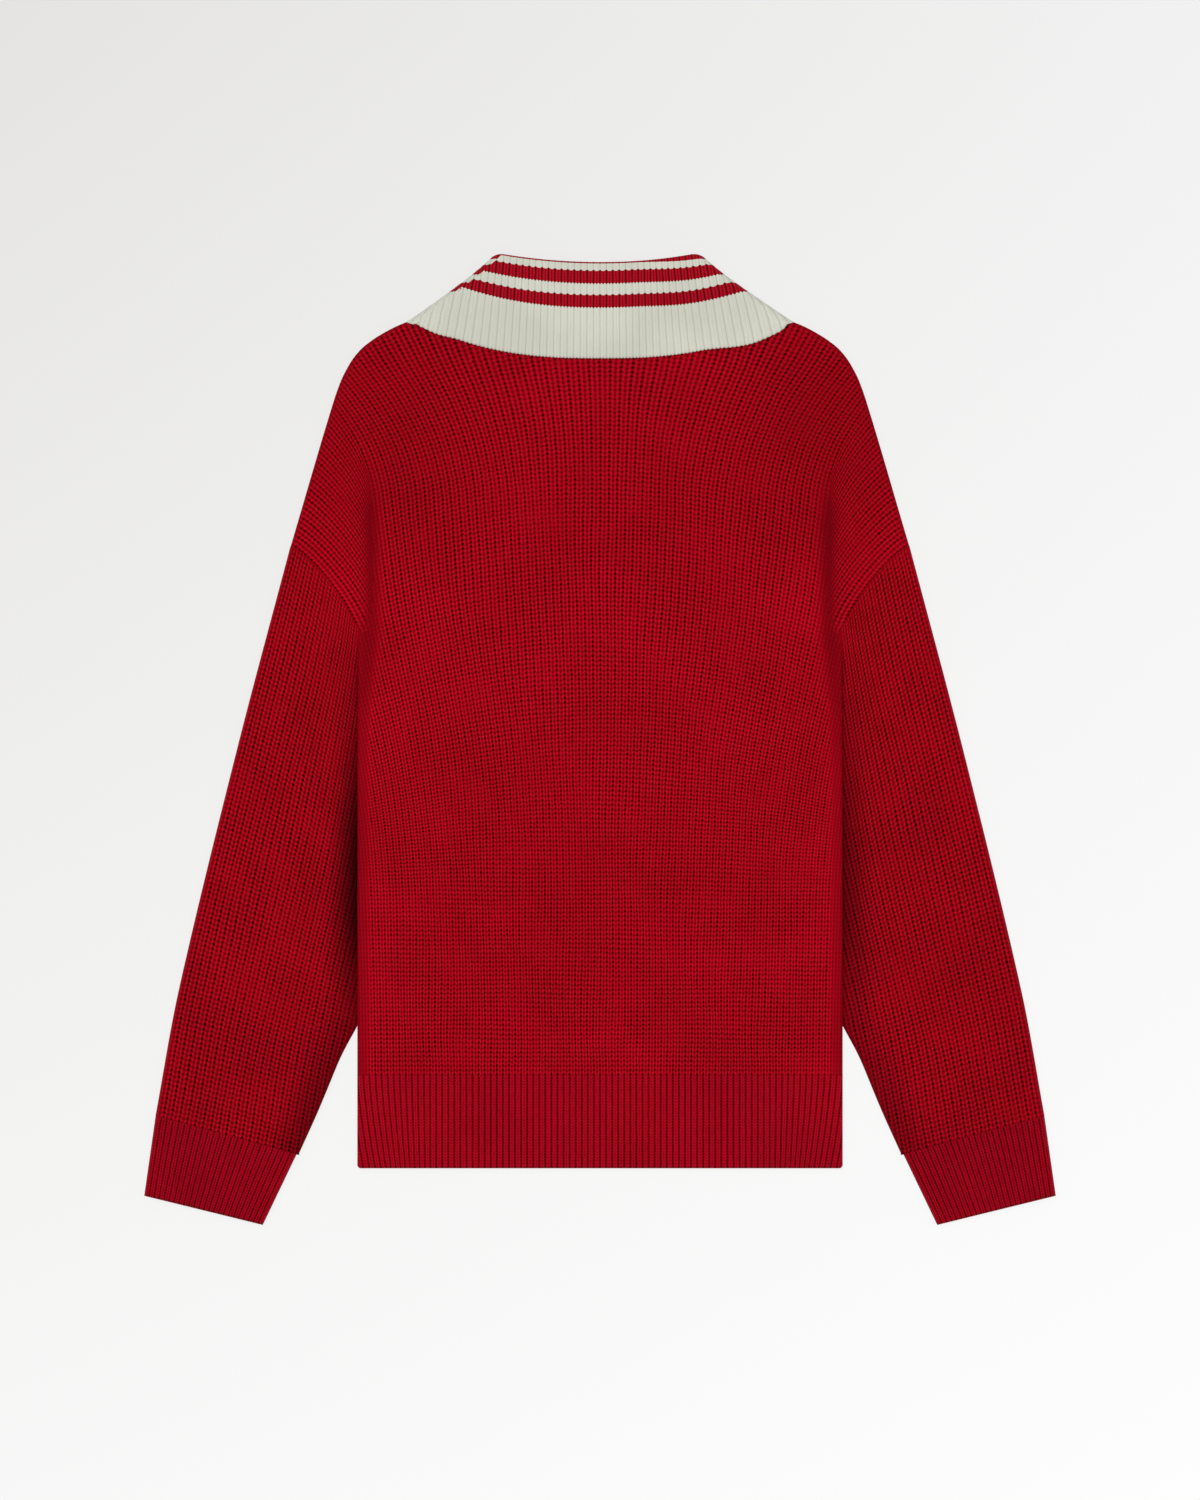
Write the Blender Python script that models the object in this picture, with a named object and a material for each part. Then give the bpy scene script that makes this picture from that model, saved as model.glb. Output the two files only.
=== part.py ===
"""Zip fisherman sweater, laid flat on its front with its back up.

Metres, +Z up. X runs across the garment and Y from hem to collar. The origin is on the surface
it lies on, in the middle of its outline. The wearer's left is at -X, because the back is on top.

Every cloth piece is a wall. The layers lie on each other: front wall, a narrow gap, back wall.
The plane in that gap is the mid level. It rises over the part of the collar that is folded
under the front. What faces the surface stays plain, and ribs are raised on what faces up.
Pieces with a left and a right are worked out for +X, and turned over for -X.
"""

import math

import bpy

# Cloth
WALL = 0.0030  # thickness of the knit at the top of a rib
GAP = 0.0003  # space between two pieces
PLY = 2 * WALL + GAP  # two walls on each other
WALE_RELIEF = 0.0007  # how far the furrow of a body rib lies below its top
RIB_RELIEF = 0.0008  # the same on the bands
SIDE_EDGE = 0.0008  # thickness of one wall at a fold
SEAM_EDGE = 0.0023  # thickness of one wall at the armhole seam
BAND_EDGE = 0.0016  # thickness of one wall at the open end of a band
ROUNDING = 0.0030  # width over which a wall thins to its edge
ALMOST = GAP / 100  # slack for comparing lengths
EDGE_STEPS = (0.0, 0.0008, 0.0032)  # distances from an edge of the lines that round it

# Body
BODY_HALF = 0.1940
BODY_BOTTOM = -0.2675  # seam between panel and lower rib
HEM_BOTTOM = -0.3428
UNDERARM_Y = 0.0860
BODY_WALES = 60
HEM_RIBS = 80
PLAIN_STRIPS = 7  # strips across a plain face of a sleeve or cuff
LOWER_ROWS = (BODY_BOTTOM, -0.1500, -0.0300, 0.0400)  # heights of the rows below the underarm
UPPER_ROWS = 8

# Neck and shoulder. A wale's share is 0 in the middle of the garment and 1 at its side.
NECK_SHARE = 0.45  # wales up to this one end at the neck
NECK_HALF = 0.0880
NECK_SIDE_Y = 0.3460
NECK_BACK_Y = 0.3290
NECK_FRONT_Y = 0.2850
NECK_POWER = 2  # the neck line rises from its middle to its sides as a parabola
SHOULDER = [  # share, x, y where the wales end, from the neck to the armhole
    (NECK_SHARE, NECK_HALF, NECK_SIDE_Y),
    (0.60, 0.1180, 0.3430),
    (0.76, 0.1480, 0.3355),
    (0.82, 0.1680, 0.3275),
    (0.87, 0.1900, 0.3128),
    (0.90, 0.2025, 0.2960),
    (0.93, 0.2130, 0.2700),
    (1.00, 0.2472, 0.1548),
]
LEAN_AT_SIDE = math.radians(60)  # how far the last wale leans outward at its end
LEAN_POWER = 4  # how quickly the lean fades toward the middle
SEAM_BLEND = 0.0200  # length over which the side fold turns into the armhole seam
ARMHOLE_LEAVE = (0.020, 0.066)  # direction and strength of the armhole seam at the underarm

# The soft fold that climbs from the underarm
VALLEY_X = 0.1820
VALLEY_WIDTH = 0.0080
VALLEY_DEPTH = 0.0010
VALLEY_FROM_Y = 0.0200
VALLEY_TO_Y = 0.2100
VALLEY_FADE = 0.0450

# Sleeve, on the +X side
SEAM_SHIFT = 0.0003  # its armhole end lies this far out and down from the panel's
SLEEVE_OUTER = [  # x, y up the shoulder fold, from the cuff
    (0.3552, -0.3000),
    (0.3368, -0.2004),
    (0.2904, -0.0084),
    (0.2475, 0.1545),
]
SPLIT_Y = -0.2250  # the sleeve parts from the body below this
SLEEVE_INNER = [  # x, y up the underarm seam, from the cuff to where it meets the body
    (0.2405, -0.3308),
    (0.2250, -0.2964),
    (0.2050, -0.2484),
    (BODY_HALF + GAP, SPLIT_Y),
]
SLEEVE_ROWS = 14
SLEEVE_WALES = 18
TUCK_DROP = 0.0030  # how much lower the sleeve lies where it meets the side of the body
TUCK_WIDTH = 0.0150
TUCK_FADE = 0.0350  # length over which the sleeve comes up again below the split

# Cuff, on the +X side
CUFF_TOP_OUTER = (0.3552, -0.3003)
CUFF_TOP_INNER = (0.2423, -0.3311)
CUFF_END_OUTER = (0.3644, -0.3648)
CUFF_END_INNER = (0.2696, -0.3881)
CUFF_RIBS = 24

# Collar, on the +X side: a stand from the neck seam to the crest, and a fall down to the edge
CREST_SIDE_Y = 0.3876
CREST_BACK_Y = 0.3812
CREST_FRONT_Y = 0.3330
EDGE_BACK_Y = 0.3046
EDGE_FRONT_Y = 0.2530
EDGE_POWER = 2.6
FALL_SIDE = [  # share of the fall, x, y down the fold at the side of the neck
    (0.00, 0.0840, CREST_SIDE_Y),
    (0.25, 0.1010, 0.3727),
    (0.50, 0.1184, 0.3600),
    (1.00, 0.1560, 0.3356),
]
STAND_LENGTH = 0.0500
FALL_LENGTH = 0.0780
RIBS_FADE_Y = EDGE_BACK_Y - 0.0120  # the body's ribs flatten from here up, under the collar
COLLAR_RIBS = 44
COLLAR_TURN_STEPS = 4
COLLAR_FRONT_STEPS = 8
NECK_GAP = 0.0006  # between the neck seam's two sides, measured along Y on a slanting line
COLLAR_END_TOP = 0.0060  # half the opening at the centre front, at the crest and in the neck
COLLAR_END_EDGE = 0.0150  # the same at the points of the collar

# Rise of the mid level over the part of the collar that lies under the front
RISE_FROM_Y = 0.1200
RISE_TO_Y = 0.2400
RISE_FULL_X = 0.1580
RISE_END_X = 0.2250

# Half zip
SLIT_SHARE = 0.031  # the wales beside the slit
SLIT_HALF = SLIT_SHARE * BODY_HALF
TAPE_THICK = 0.0010
CHAIN_HALF = 0.0022
CHAIN_THICK = 0.0016
TAPE_ROWS = 10
SLIDER_Y = 0.2735  # the axis of the pull tab
SLIDER_HALF = 0.0045
SLIDER_REACH = 0.0062  # how far the slider reaches from that axis, up and down the zip
PLATE_THICK = 0.0009
ARCH_HALF = 0.0008
ARCH_REACH = 0.0049
ARCH_BAR = 0.0007
ARCH_SPACE = 0.0016  # between plate and arch, where the tab's bar turns
TAB_THICK = 0.0008
TAB_HALF = 0.0030
TAB_LENGTH = 0.0280
TAB_WINDOW_HALF = 0.0015
TAB_WINDOW_LENGTH = 0.0070

RED = (0.29, 0.004, 0.013, 1.0)
CREAM = (0.63, 0.64, 0.56, 1.0)
DARK_RED = (0.16, 0.003, 0.008, 1.0)
METAL = (0.62, 0.62, 0.60, 1.0)

# Lines across a plain face, as shares from the middle to the side
PLAIN_SHARES = (0.0, SLIT_SHARE, 0.105, 0.18, 0.25, 0.32, 0.385, NECK_SHARE)
PLAIN_SHARES += (0.56, 0.66, 0.75, 0.82, 0.88, 0.94, 1.0)


# ---- small helpers -------------------------------------------------------------------------


def smooth(value, low, high):
    """0 below low, 1 above high, and a soft step between."""
    share = min(max((value - low) / (high - low), 0.0), 1.0)
    return share * share * (3 - 2 * share)


def spread(count):
    """count + 1 shares from 0 to 1."""
    return [step / count for step in range(count + 1)]


def mix(a, b, share):
    return a + (b - a) * share


def mix_points(a, b, share):
    return tuple(mix(p, q, share) for p, q in zip(a, b))


def through(rows, share):
    """The point at this share on the smooth curve through rows of (share, x, y)."""
    last = len(rows) - 2
    step = next((i for i in range(last) if share <= rows[i + 1][0]), last)
    here, there = rows[step], rows[step + 1]
    before = rows[step - 1] if step > 0 else here
    after = rows[step + 2] if step < last else there
    span = there[0] - here[0]
    t = (share - here[0]) / span
    point = []
    for axis in (1, 2):
        slope_in = (there[axis] - before[axis]) / (there[0] - before[0]) * span
        slope_out = (after[axis] - here[axis]) / (after[0] - here[0]) * span
        point.append(hermite(here[axis], slope_in, there[axis], slope_out, t))
    return tuple(point)


def hermite(start, leave, end, arrive, t):
    """A cubic from start to end, with these slopes at its two ends."""
    value = (2 * t**3 - 3 * t**2 + 1) * start + (3 * t**2 - 2 * t**3) * end
    return value + (t**3 - 2 * t**2 + t) * leave + (t**3 - t**2) * arrive


def by_length(points):
    """Rows of (share, x, y), with the share taken from the length along the points."""
    lengths = [0.0]
    for a, b in zip(points, points[1:]):
        lengths.append(lengths[-1] + math.dist(a, b))
    return [(length / lengths[-1], x, y) for length, (x, y) in zip(lengths, points)]


def both_sides(shares):
    """Shares from 0 to 1 as places from -1 to 1."""
    return [-share for share in reversed(shares) if share > 0] + list(shares)


def mid_level(x, y):
    """Height of the plane between the back wall and the front wall."""
    rise = smooth(y, RISE_FROM_Y, RISE_TO_Y) * (1 - smooth(abs(x), RISE_FULL_X, RISE_END_X))
    return WALL + GAP / 2 + (WALL + GAP) * rise


NECK_LEVEL = mid_level(0, RISE_TO_Y)


def rounded(distance, width):
    """0 at an edge, and 1 from this width inward, along a quarter circle."""
    share = min(max(distance / width, 0.0), 1.0)
    return math.sqrt(1 - (1 - share) ** 2)


def thinning(distance, edge):
    """Thickness of a wall this far from a rounded edge that is edge thick."""
    return mix(edge, WALL, rounded(distance, ROUNDING))


def furrow(index, depth):
    """Ribs: every second line of points lies lower."""
    return depth if index % 2 == 0 else 0.0


# ---- building one closed body --------------------------------------------------------------


class Body:
    """Points and faces of one closed body."""

    def __init__(self):
        self.points = []
        self.faces = []

    def lines(self, rows):
        """Adds lines of points and gives back their numbers."""
        numbered = []
        for row in rows:
            numbered.append(list(range(len(self.points), len(self.points) + len(row))))
            self.points.extend(row)
        return numbered

    def sheet(self, rows, flip=False, skip=()):
        """Faces between neighbouring lines that have the same number of points."""
        for i in range(len(rows) - 1):
            for j in range(len(rows[0]) - 1):
                if (i, j) in skip:
                    continue
                face = (rows[i][j], rows[i][j + 1], rows[i + 1][j + 1], rows[i + 1][j])
                self.faces.append(face[::-1] if flip else face)

    def band(self, near, far, flip=False):
        """Triangles between two lines that run side by side, with any number of points."""
        near_shares = self.shares(near)
        far_shares = self.shares(far)
        i = j = 0
        while i < len(near) - 1 or j < len(far) - 1:
            near_left = i < len(near) - 1
            far_left = j < len(far) - 1
            if near_left and (not far_left or near_shares[i + 1] <= far_shares[j + 1]):
                face = (near[i], near[i + 1], far[j])
                i += 1
            else:
                face = (near[i], far[j + 1], far[j])
                j += 1
            self.faces.append(face[::-1] if flip else face)

    def shares(self, line):
        """How far along the line each of its points is, seen from above, from 0 to 1."""
        lengths = [0.0]
        for a, b in zip(line, line[1:]):
            lengths.append(lengths[-1] + math.dist(self.points[a][:2], self.points[b][:2]))
        return [length / lengths[-1] for length in lengths]

    def rim(self, outer, inner):
        """Joins every free edge of the outer sheet to the same edge of the inner one."""
        twin = {a: b for row, under in zip(outer, inner) for a, b in zip(row, under)}
        edges = set()
        for face in self.faces:
            if all(number in twin for number in face):
                edges.update(zip(face, face[1:] + face[:1]))
        for a, b in sorted(edges):
            if (b, a) not in edges:
                self.faces.append((b, a, twin[a], twin[b]))

    def make(self, name, material, mirrored=False):
        used = sorted({number for face in self.faces for number in face})
        place = {number: index for index, number in enumerate(used)}
        sign = -1 if mirrored else 1
        points = [(sign * self.points[n][0], self.points[n][1], self.points[n][2]) for n in used]
        faces = [[place[number] for number in face][::sign] for face in self.faces]
        mesh = bpy.data.meshes.new(name)
        mesh.from_pydata(points, [], faces)
        mesh.materials.append(material)
        mesh.shade_smooth()
        mesh.set_sharp_from_angle(angle=math.radians(40))
        piece = bpy.data.objects.new(name, mesh)
        bpy.context.scene.collection.objects.link(piece)
        return piece


def make_material(name, color, roughness, metallic):
    material = bpy.data.materials.new(name)
    material.use_nodes = True
    shader = material.node_tree.nodes["Principled BSDF"]
    shader.inputs["Base Color"].default_value = color
    shader.inputs["Roughness"].default_value = roughness
    shader.inputs["Metallic"].default_value = metallic
    return material


# ---- body panels and lower rib -------------------------------------------------------------


def rise(x, half, middle_y, side_y, power):
    """Height of a line that is level in the middle and rises to side_y at this half width."""
    return middle_y + (side_y - middle_y) * (abs(x) / half) ** power


def panel_top(share, neck_y):
    """Where the wale at this share ends: on the neck, or on the shoulder."""
    if share > NECK_SHARE:
        return through(SHOULDER, share)
    x = NECK_HALF * share / NECK_SHARE
    return x, rise(x, NECK_HALF, neck_y, NECK_SIDE_Y, NECK_POWER)


def wale_point(across, up, top):
    """Where a wale is: across from -1 to 1, up from 0 at the underarm to 1 at its end."""
    share = abs(across)
    start = (share * BODY_HALF, UNDERARM_Y)
    end = top(share)
    side = share ** (2 * LEAN_POWER)
    reach = mix(math.dist(start, end), ARMHOLE_LEAVE[1], side)
    lean = LEAN_AT_SIDE * share**LEAN_POWER
    leave = (ARMHOLE_LEAVE[0] * side, reach)
    arrive = (reach * math.sin(lean), reach * math.cos(lean))
    x, y = (hermite(start[axis], leave[axis], end[axis], arrive[axis], up) for axis in (0, 1))
    return math.copysign(x, across), y


def back_top(share):
    return panel_top(share, NECK_BACK_Y)


def front_top(share):
    return panel_top(share, NECK_FRONT_Y)


def wale_line(across, top):
    """The points of one wale from bottom to top, as (x, y)."""
    length = math.dist(wale_point(across, 0, top), wale_point(across, 1, top))
    line = [(across * BODY_HALF, y) for y in LOWER_ROWS]
    for share in spread(UPPER_ROWS):
        line.append(wale_point(across, share * (1 - EDGE_STEPS[2] / length), top))
    for distance in (EDGE_STEPS[1], EDGE_STEPS[0]):
        line.append(wale_point(across, 1 - distance / length, top))
    return line


def panel_rows(acrosses, top):
    return [list(row) for row in zip(*[wale_line(across, top) for across in acrosses])]


def panel_thickness(rows, row, column):
    """Thickness of a panel: thin at the side and top folds, nearly whole at the armhole."""
    point = rows[row][column]
    to_side = min(math.dist(point, rows[row][0]), math.dist(point, rows[row][-1]))
    to_top = math.dist(point, rows[-1][column])
    at_armhole = smooth(point[1], UNDERARM_Y - GAP, UNDERARM_Y + SEAM_BLEND)
    side_edge = mix(SIDE_EDGE, SEAM_EDGE, at_armhole)
    return min(thinning(to_side, side_edge), thinning(to_top, SIDE_EDGE))


def valley(x, y):
    """Depth of the soft fold above the underarm."""
    across = math.exp(-(((abs(x) - VALLEY_X) / VALLEY_WIDTH) ** 2))
    start = smooth(y, VALLEY_FROM_Y - VALLEY_FADE, VALLEY_FROM_Y + VALLEY_FADE)
    end = smooth(y, VALLEY_TO_Y - VALLEY_FADE, VALLEY_TO_Y + VALLEY_FADE)
    return VALLEY_DEPTH * across * (start - end)


def rib_places(ribs):
    """Places from -1 to 1 of the tops and furrows of the ribs, with one more at each edge."""
    near = 1 - EDGE_STEPS[1] / BODY_HALF
    halves = [index / ribs - 1 for index in range(1, 2 * ribs)]
    return [-1, -near] + halves + [near, 1]


def close_by_bands(body, outer, inner):
    """Joins an upper face to the plain face below it, which has fewer lines across."""
    body.band(outer[0], inner[0], flip=True)
    body.band(outer[-1], inner[-1])
    body.sheet([[row[0] for row in outer], [row[0] for row in inner]])
    body.sheet([[row[-1] for row in outer], [row[-1] for row in inner]], flip=True)


def make_back(material):
    body = Body()
    rows = panel_rows(rib_places(BODY_WALES), back_top)
    outer = []
    for row, line in enumerate(rows):
        points = []
        for column, (x, y) in enumerate(line):
            thick = panel_thickness(rows, row, column)
            if thick > WALL - ALMOST:
                uncovered = 1 - smooth(y, RIBS_FADE_Y, EDGE_BACK_Y)
                thick -= furrow(column, WALE_RELIEF) * uncovered + valley(x, y)
            points.append((x, y, mid_level(x, y) + GAP / 2 + thick))
        outer.append(points)
    plain_rows = panel_rows(both_sides(PLAIN_SHARES), back_top)
    inner = [[(x, y, mid_level(x, y) + GAP / 2) for x, y in line] for line in plain_rows]
    outer = body.lines(outer)
    inner = body.lines(inner)
    body.sheet(outer)
    body.sheet(inner, flip=True)
    close_by_bands(body, outer, inner)
    return body.make("back", material)


ROUNDED_SIDE = tuple(1 - step / BODY_HALF for step in reversed(EDGE_STEPS))
FRONT_PLACES = both_sides(PLAIN_SHARES[:-1] + ROUNDED_SIDE)
SLIT_COLUMNS = (FRONT_PLACES.index(0) - 1, FRONT_PLACES.index(0))
SLIT_ROW = len(LOWER_ROWS) + 1


def make_front(material):
    """The front panel, plain on both faces, with a slit between its two middle strips."""
    body = Body()
    rows = panel_rows(FRONT_PLACES, front_top)
    outer = []
    inner = []
    for row, line in enumerate(rows):
        levels = [mid_level(x, y) - GAP / 2 for x, y in line]
        thick = [panel_thickness(rows, row, column) for column in range(len(line))]
        outer.append([(x, y, z - t) for (x, y), z, t in zip(line, levels, thick)])
        inner.append([(x, y, z) for (x, y), z in zip(line, levels)])
    outer = body.lines(outer)
    inner = body.lines(inner)
    slit = {(row, column) for row in range(SLIT_ROW, len(rows)) for column in SLIT_COLUMNS}
    body.sheet(outer, flip=True, skip=slit)
    body.rim(outer, inner)
    body.sheet(inner, skip=slit)
    return body.make("front", material)


def hem_rows(places):
    heights = [HEM_BOTTOM + step for step in EDGE_STEPS] + [BODY_BOTTOM - GAP]
    return [[(place * BODY_HALF, y) for place in places] for y in heights]


def hem_thickness(x, y):
    to_side = BODY_HALF - abs(x)
    return min(thinning(to_side, SIDE_EDGE), thinning(y - HEM_BOTTOM, BAND_EDGE))


def make_hem_back(material):
    body = Body()
    level = mid_level(0, HEM_BOTTOM) + GAP / 2
    outer = []
    for line in hem_rows(rib_places(HEM_RIBS)):
        points = []
        for column, (x, y) in enumerate(line):
            at_side = BODY_HALF - abs(x) < ROUNDING
            ridge = 0.0 if at_side else furrow(column, RIB_RELIEF) * rounded(y - HEM_BOTTOM, ROUNDING)
            points.append((x, y, level + hem_thickness(x, y) - ridge))
        outer.append(points)
    inner = [[(x, y, level) for x, y in line] for line in hem_rows(both_sides(PLAIN_SHARES))]
    outer = body.lines(outer)
    inner = body.lines(inner)
    body.sheet(outer)
    body.sheet(inner, flip=True)
    close_by_bands(body, outer, inner)
    return body.make("hem_rib_back", material)


def make_hem_front(material):
    body = Body()
    level = mid_level(0, HEM_BOTTOM) - GAP / 2
    rows = hem_rows(FRONT_PLACES)
    outer = body.lines([[(x, y, level - hem_thickness(x, y)) for x, y in line] for line in rows])
    inner = body.lines([[(x, y, level) for x, y in line] for line in rows])
    body.sheet(outer, flip=True)
    body.rim(outer, inner)
    body.sheet(inner)
    return body.make("hem_rib_front", material)


# ---- sleeves and cuffs ---------------------------------------------------------------------


def armhole(share):
    """The armhole end of the sleeve, from the underarm to the shoulder fold."""
    x, y = wale_point(1, share, back_top)
    return x + SEAM_SHIFT, y - SEAM_SHIFT


def sleeve_inner(share):
    """The underarm seam, from the cuff to the underarm. It runs straight along the body."""
    straight = armhole(0)[1] - SPLIT_Y
    bent = sum(math.dist(a, b) for a, b in zip(SLEEVE_INNER, SLEEVE_INNER[1:]))
    split = bent / (bent + straight)
    if share < split:
        return through(by_length(SLEEVE_INNER), share / split)
    return mix_points(SLEEVE_INNER[-1], armhole(0), (share - split) / (1 - split))


def sleeve_point(along, across):
    """A place on the sleeve: along from the cuff to the armhole, across from the inner fold."""
    inner = sleeve_inner(along)
    outer = through(by_length(SLEEVE_OUTER), along)
    bottom = mix_points(SLEEVE_INNER[0], SLEEVE_OUTER[0], across)
    sides = mix_points(inner, outer, across)
    ends = mix_points(bottom, armhole(across), along)
    ends_straight = mix_points(
        bottom, mix_points(armhole(0), armhole(1), across), along
    )
    return tuple(a + b - c for a, b, c in zip(sides, ends, ends_straight))


def sleeve_height(to_inner, y):
    """Height of the sleeve's top: it dips where it meets the side of the body."""
    beside_body = smooth(y, SPLIT_Y - TUCK_FADE, SPLIT_Y)
    return PLY - TUCK_DROP * beside_body * (1 - smooth(to_inner, 0, TUCK_WIDTH))


def cuff_point(along, across):
    end = mix_points(CUFF_END_INNER, CUFF_END_OUTER, across)
    return mix_points(end, mix_points(CUFF_TOP_INNER, CUFF_TOP_OUTER, across), along)


def cuff_height(_to_inner, _y):
    return PLY


def tube_places(width, middle):
    """Distances from the inner fold, close together at the folds, and middle strips between."""
    ease = EDGE_STEPS[2]
    between = [mix(ease, width - ease, share) for share in spread(middle)]
    return list(EDGE_STEPS[:2]) + between + [width - step for step in (EDGE_STEPS[1], EDGE_STEPS[0])]


def tube_face(point, height, rows, strips, side, relief, open_end):
    """Rows of points on a tube: side is 1 on top, -1 below, and 0.5 and -0.5 on its inside."""
    face = []
    for along in rows:
        width = math.dist(point(along, 0), point(along, 1))
        length = math.dist(point(along, 0), point(0, 0))
        inset = 0.0 if abs(side) == 1 else WALL - GAP / 2
        line = []
        for column, place in enumerate(tube_places(width - 2 * inset, strips)):
            place += inset
            x, y = point(along, place / width)
            top = height(place, y)
            at_fold = min(place, width - place)
            z = top / 2
            if abs(side) == 1:
                z += side * top / 2 * rounded(at_fold, top / 2)
            elif at_fold > inset:
                z += math.copysign(GAP / 2, side)
            if side == 1 and at_fold > EDGE_STEPS[2] - ALMOST:
                z -= furrow(column, relief) * (rounded(length, ROUNDING) if open_end else 1)
            if side == 1 and open_end:
                z -= (WALL - thinning(length, BAND_EDGE)) * rounded(at_fold, top / 2)
            line.append((x, y, z))
        face.append(line)
    return face


def make_tube(name, point, height, rows, ribs, relief, open_end, material, mirrored):
    """A flattened tube with ribs on top, open at both ends."""
    body = Body()
    loops = []
    for top_side, top_strips in ((1, 2 * ribs), (0.5, PLAIN_STRIPS)):
        top = tube_face(point, height, rows, top_strips, top_side, relief, open_end)
        below = tube_face(point, height, rows, PLAIN_STRIPS, -top_side, relief, open_end)
        top = body.lines(top)
        middle = body.lines([line[1:-1] for line in below])
        below = [[over[0]] + line + [over[-1]] for over, line in zip(top, middle)]
        body.sheet(top, flip=top_side != 1)
        body.sheet(below, flip=top_side == 1)
        loops.append((top, below))
    (top, below), (inner_top, inner_below) = loops
    body.band(top[0], inner_top[0], flip=True)
    body.band(top[-1], inner_top[-1])
    body.band(below[0], inner_below[0])
    body.band(below[-1], inner_below[-1], flip=True)
    return body.make(name, material, mirrored)


def make_sleeve(name, material, mirrored):
    rows = spread(SLEEVE_ROWS)
    return make_tube(
        name, sleeve_point, sleeve_height, rows, SLEEVE_WALES, WALE_RELIEF, False, material, mirrored
    )


def make_cuff(name, material, mirrored):
    length = math.dist(CUFF_END_INNER, CUFF_TOP_INNER)
    rows = [step / length for step in EDGE_STEPS] + [1]
    return make_tube(
        name, cuff_point, cuff_height, rows, CUFF_RIBS, RIB_RELIEF, True, material, mirrored
    )


# ---- collar --------------------------------------------------------------------------------

STAND_IN = GAP / 2  # heights of the four faces of the folded band, from the mid level
STAND_OUT = WALL + GAP / 2
FALL_IN = STAND_OUT + GAP
FALL_OUT = FALL_IN + WALL


def collar_section():
    """The folded band cut across: (place, height, ribbed) once round its edge.

    place is -1 at the neck seam, 0 at the crest and 1 at the free edge.
    """
    radius = (FALL_OUT - STAND_IN) / 2
    middle = (FALL_OUT + STAND_IN) / 2
    inside = WALL / FALL_LENGTH
    section = [(-1, STAND_IN, False), (-radius / STAND_LENGTH, STAND_IN, False)]
    for degrees in (45, 90, 135):  # round the crest
        turn = math.radians(degrees)
        drop = radius * (1 - math.sin(turn))
        length = STAND_LENGTH if degrees < 90 else FALL_LENGTH
        place = math.copysign(drop / length, degrees - 90)
        section.append((place, middle - radius * math.cos(turn), degrees > 90))
    section += [
        (radius / FALL_LENGTH, FALL_OUT, True),
        (0.40, FALL_OUT, True),
        (1 - EDGE_STEPS[2] / FALL_LENGTH, FALL_OUT, True),
        (1, FALL_IN + BAND_EDGE, False),
        (1, FALL_IN, False),
        (2 * inside, FALL_IN, False),
        (inside, middle, False),
        (-1, STAND_OUT, False),
    ]
    return section


def collar_line(place):
    """The line at this place, as (side x, side y, middle y on the back, and on the front)."""
    crest_x = FALL_SIDE[0][1] - FALL_OUT
    if place < 0:
        share = place + 1
        side_x = mix(NECK_HALF - STAND_OUT, crest_x, share)
        side_y = mix(NECK_SIDE_Y + NECK_GAP, CREST_SIDE_Y, share)
        back_y = mix(NECK_BACK_Y + NECK_GAP, CREST_BACK_Y, share)
        return side_x, side_y, back_y, mix(NECK_FRONT_Y + NECK_GAP, CREST_FRONT_Y, share)
    side_x, side_y = through(FALL_SIDE, place)
    back_y = mix(CREST_BACK_Y, EDGE_BACK_Y, place)
    return side_x - FALL_OUT, side_y, back_y, mix(CREST_FRONT_Y, EDGE_FRONT_Y, place)


def collar_y(x, place, at_back):
    """Height of the line over x. The neck seam follows the panels' neck, which is wider."""
    side_x, side_y, back_y, front_y = collar_line(place)
    half = side_x + STAND_OUT * max(-place, 0)
    power = mix(NECK_POWER, EDGE_POWER, max(place, 0)) if at_back else NECK_POWER
    return rise(x, half, back_y if at_back else front_y, side_y, power)


def collar_back(across, place, height):
    x = across * collar_line(place)[0]
    return x, collar_y(x, place, True), NECK_LEVEL + height


def collar_turn(side, share, place, height):
    """Round the fold at the side of the neck: share is 0 on the front and 1 on the back."""
    side_x = collar_line(place)[0]
    angle = math.pi * (share - 0.5)
    seam_x = side_x + STAND_OUT * max(-place, 0) * math.cos(angle)
    y = mix(collar_y(seam_x, place, False), collar_y(seam_x, place, True), share)
    return side * (side_x + height * math.cos(angle)), y, NECK_LEVEL + height * math.sin(angle)


def collar_front(side, across, place, height):
    end = mix(COLLAR_END_TOP, COLLAR_END_EDGE, max(place, 0))
    x = mix(end, collar_line(place)[0], across)
    return side * x, collar_y(x, place, False), NECK_LEVEL - height


def make_collar(material):
    section = collar_section()
    turns = spread(COLLAR_TURN_STEPS)[:-1]
    fronts = spread(COLLAR_FRONT_STEPS)[:-1]

    def ring(position, *where):
        return [position(*where, place, height) for place, height, _ in section]

    rings = [ring(collar_front, -1, across) for across in fronts]
    rings += [ring(collar_turn, -1, share) for share in turns]
    for index in range(2 * COLLAR_RIBS + 1):
        depth = furrow(index, RIB_RELIEF)
        across = index / COLLAR_RIBS - 1
        rings.append([collar_back(across, place, high - depth * ribbed) for place, high, ribbed in section])
    rings += [ring(collar_turn, 1, share) for share in reversed(turns)]
    rings += [ring(collar_front, 1, across) for across in reversed(fronts)]
    body = Body()
    rings = body.lines(rings)
    body.sheet([numbers + numbers[:1] for numbers in rings])
    edge = next(index for index, (place, _, _) in enumerate(section) if place == 1)
    for numbers, flip in ((rings[0], True), (rings[-1], False)):
        body.band(numbers[: edge + 1], numbers[:edge:-1], flip=flip)
    return body.make("collar", material)


# ---- zip -----------------------------------------------------------------------------------


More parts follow.
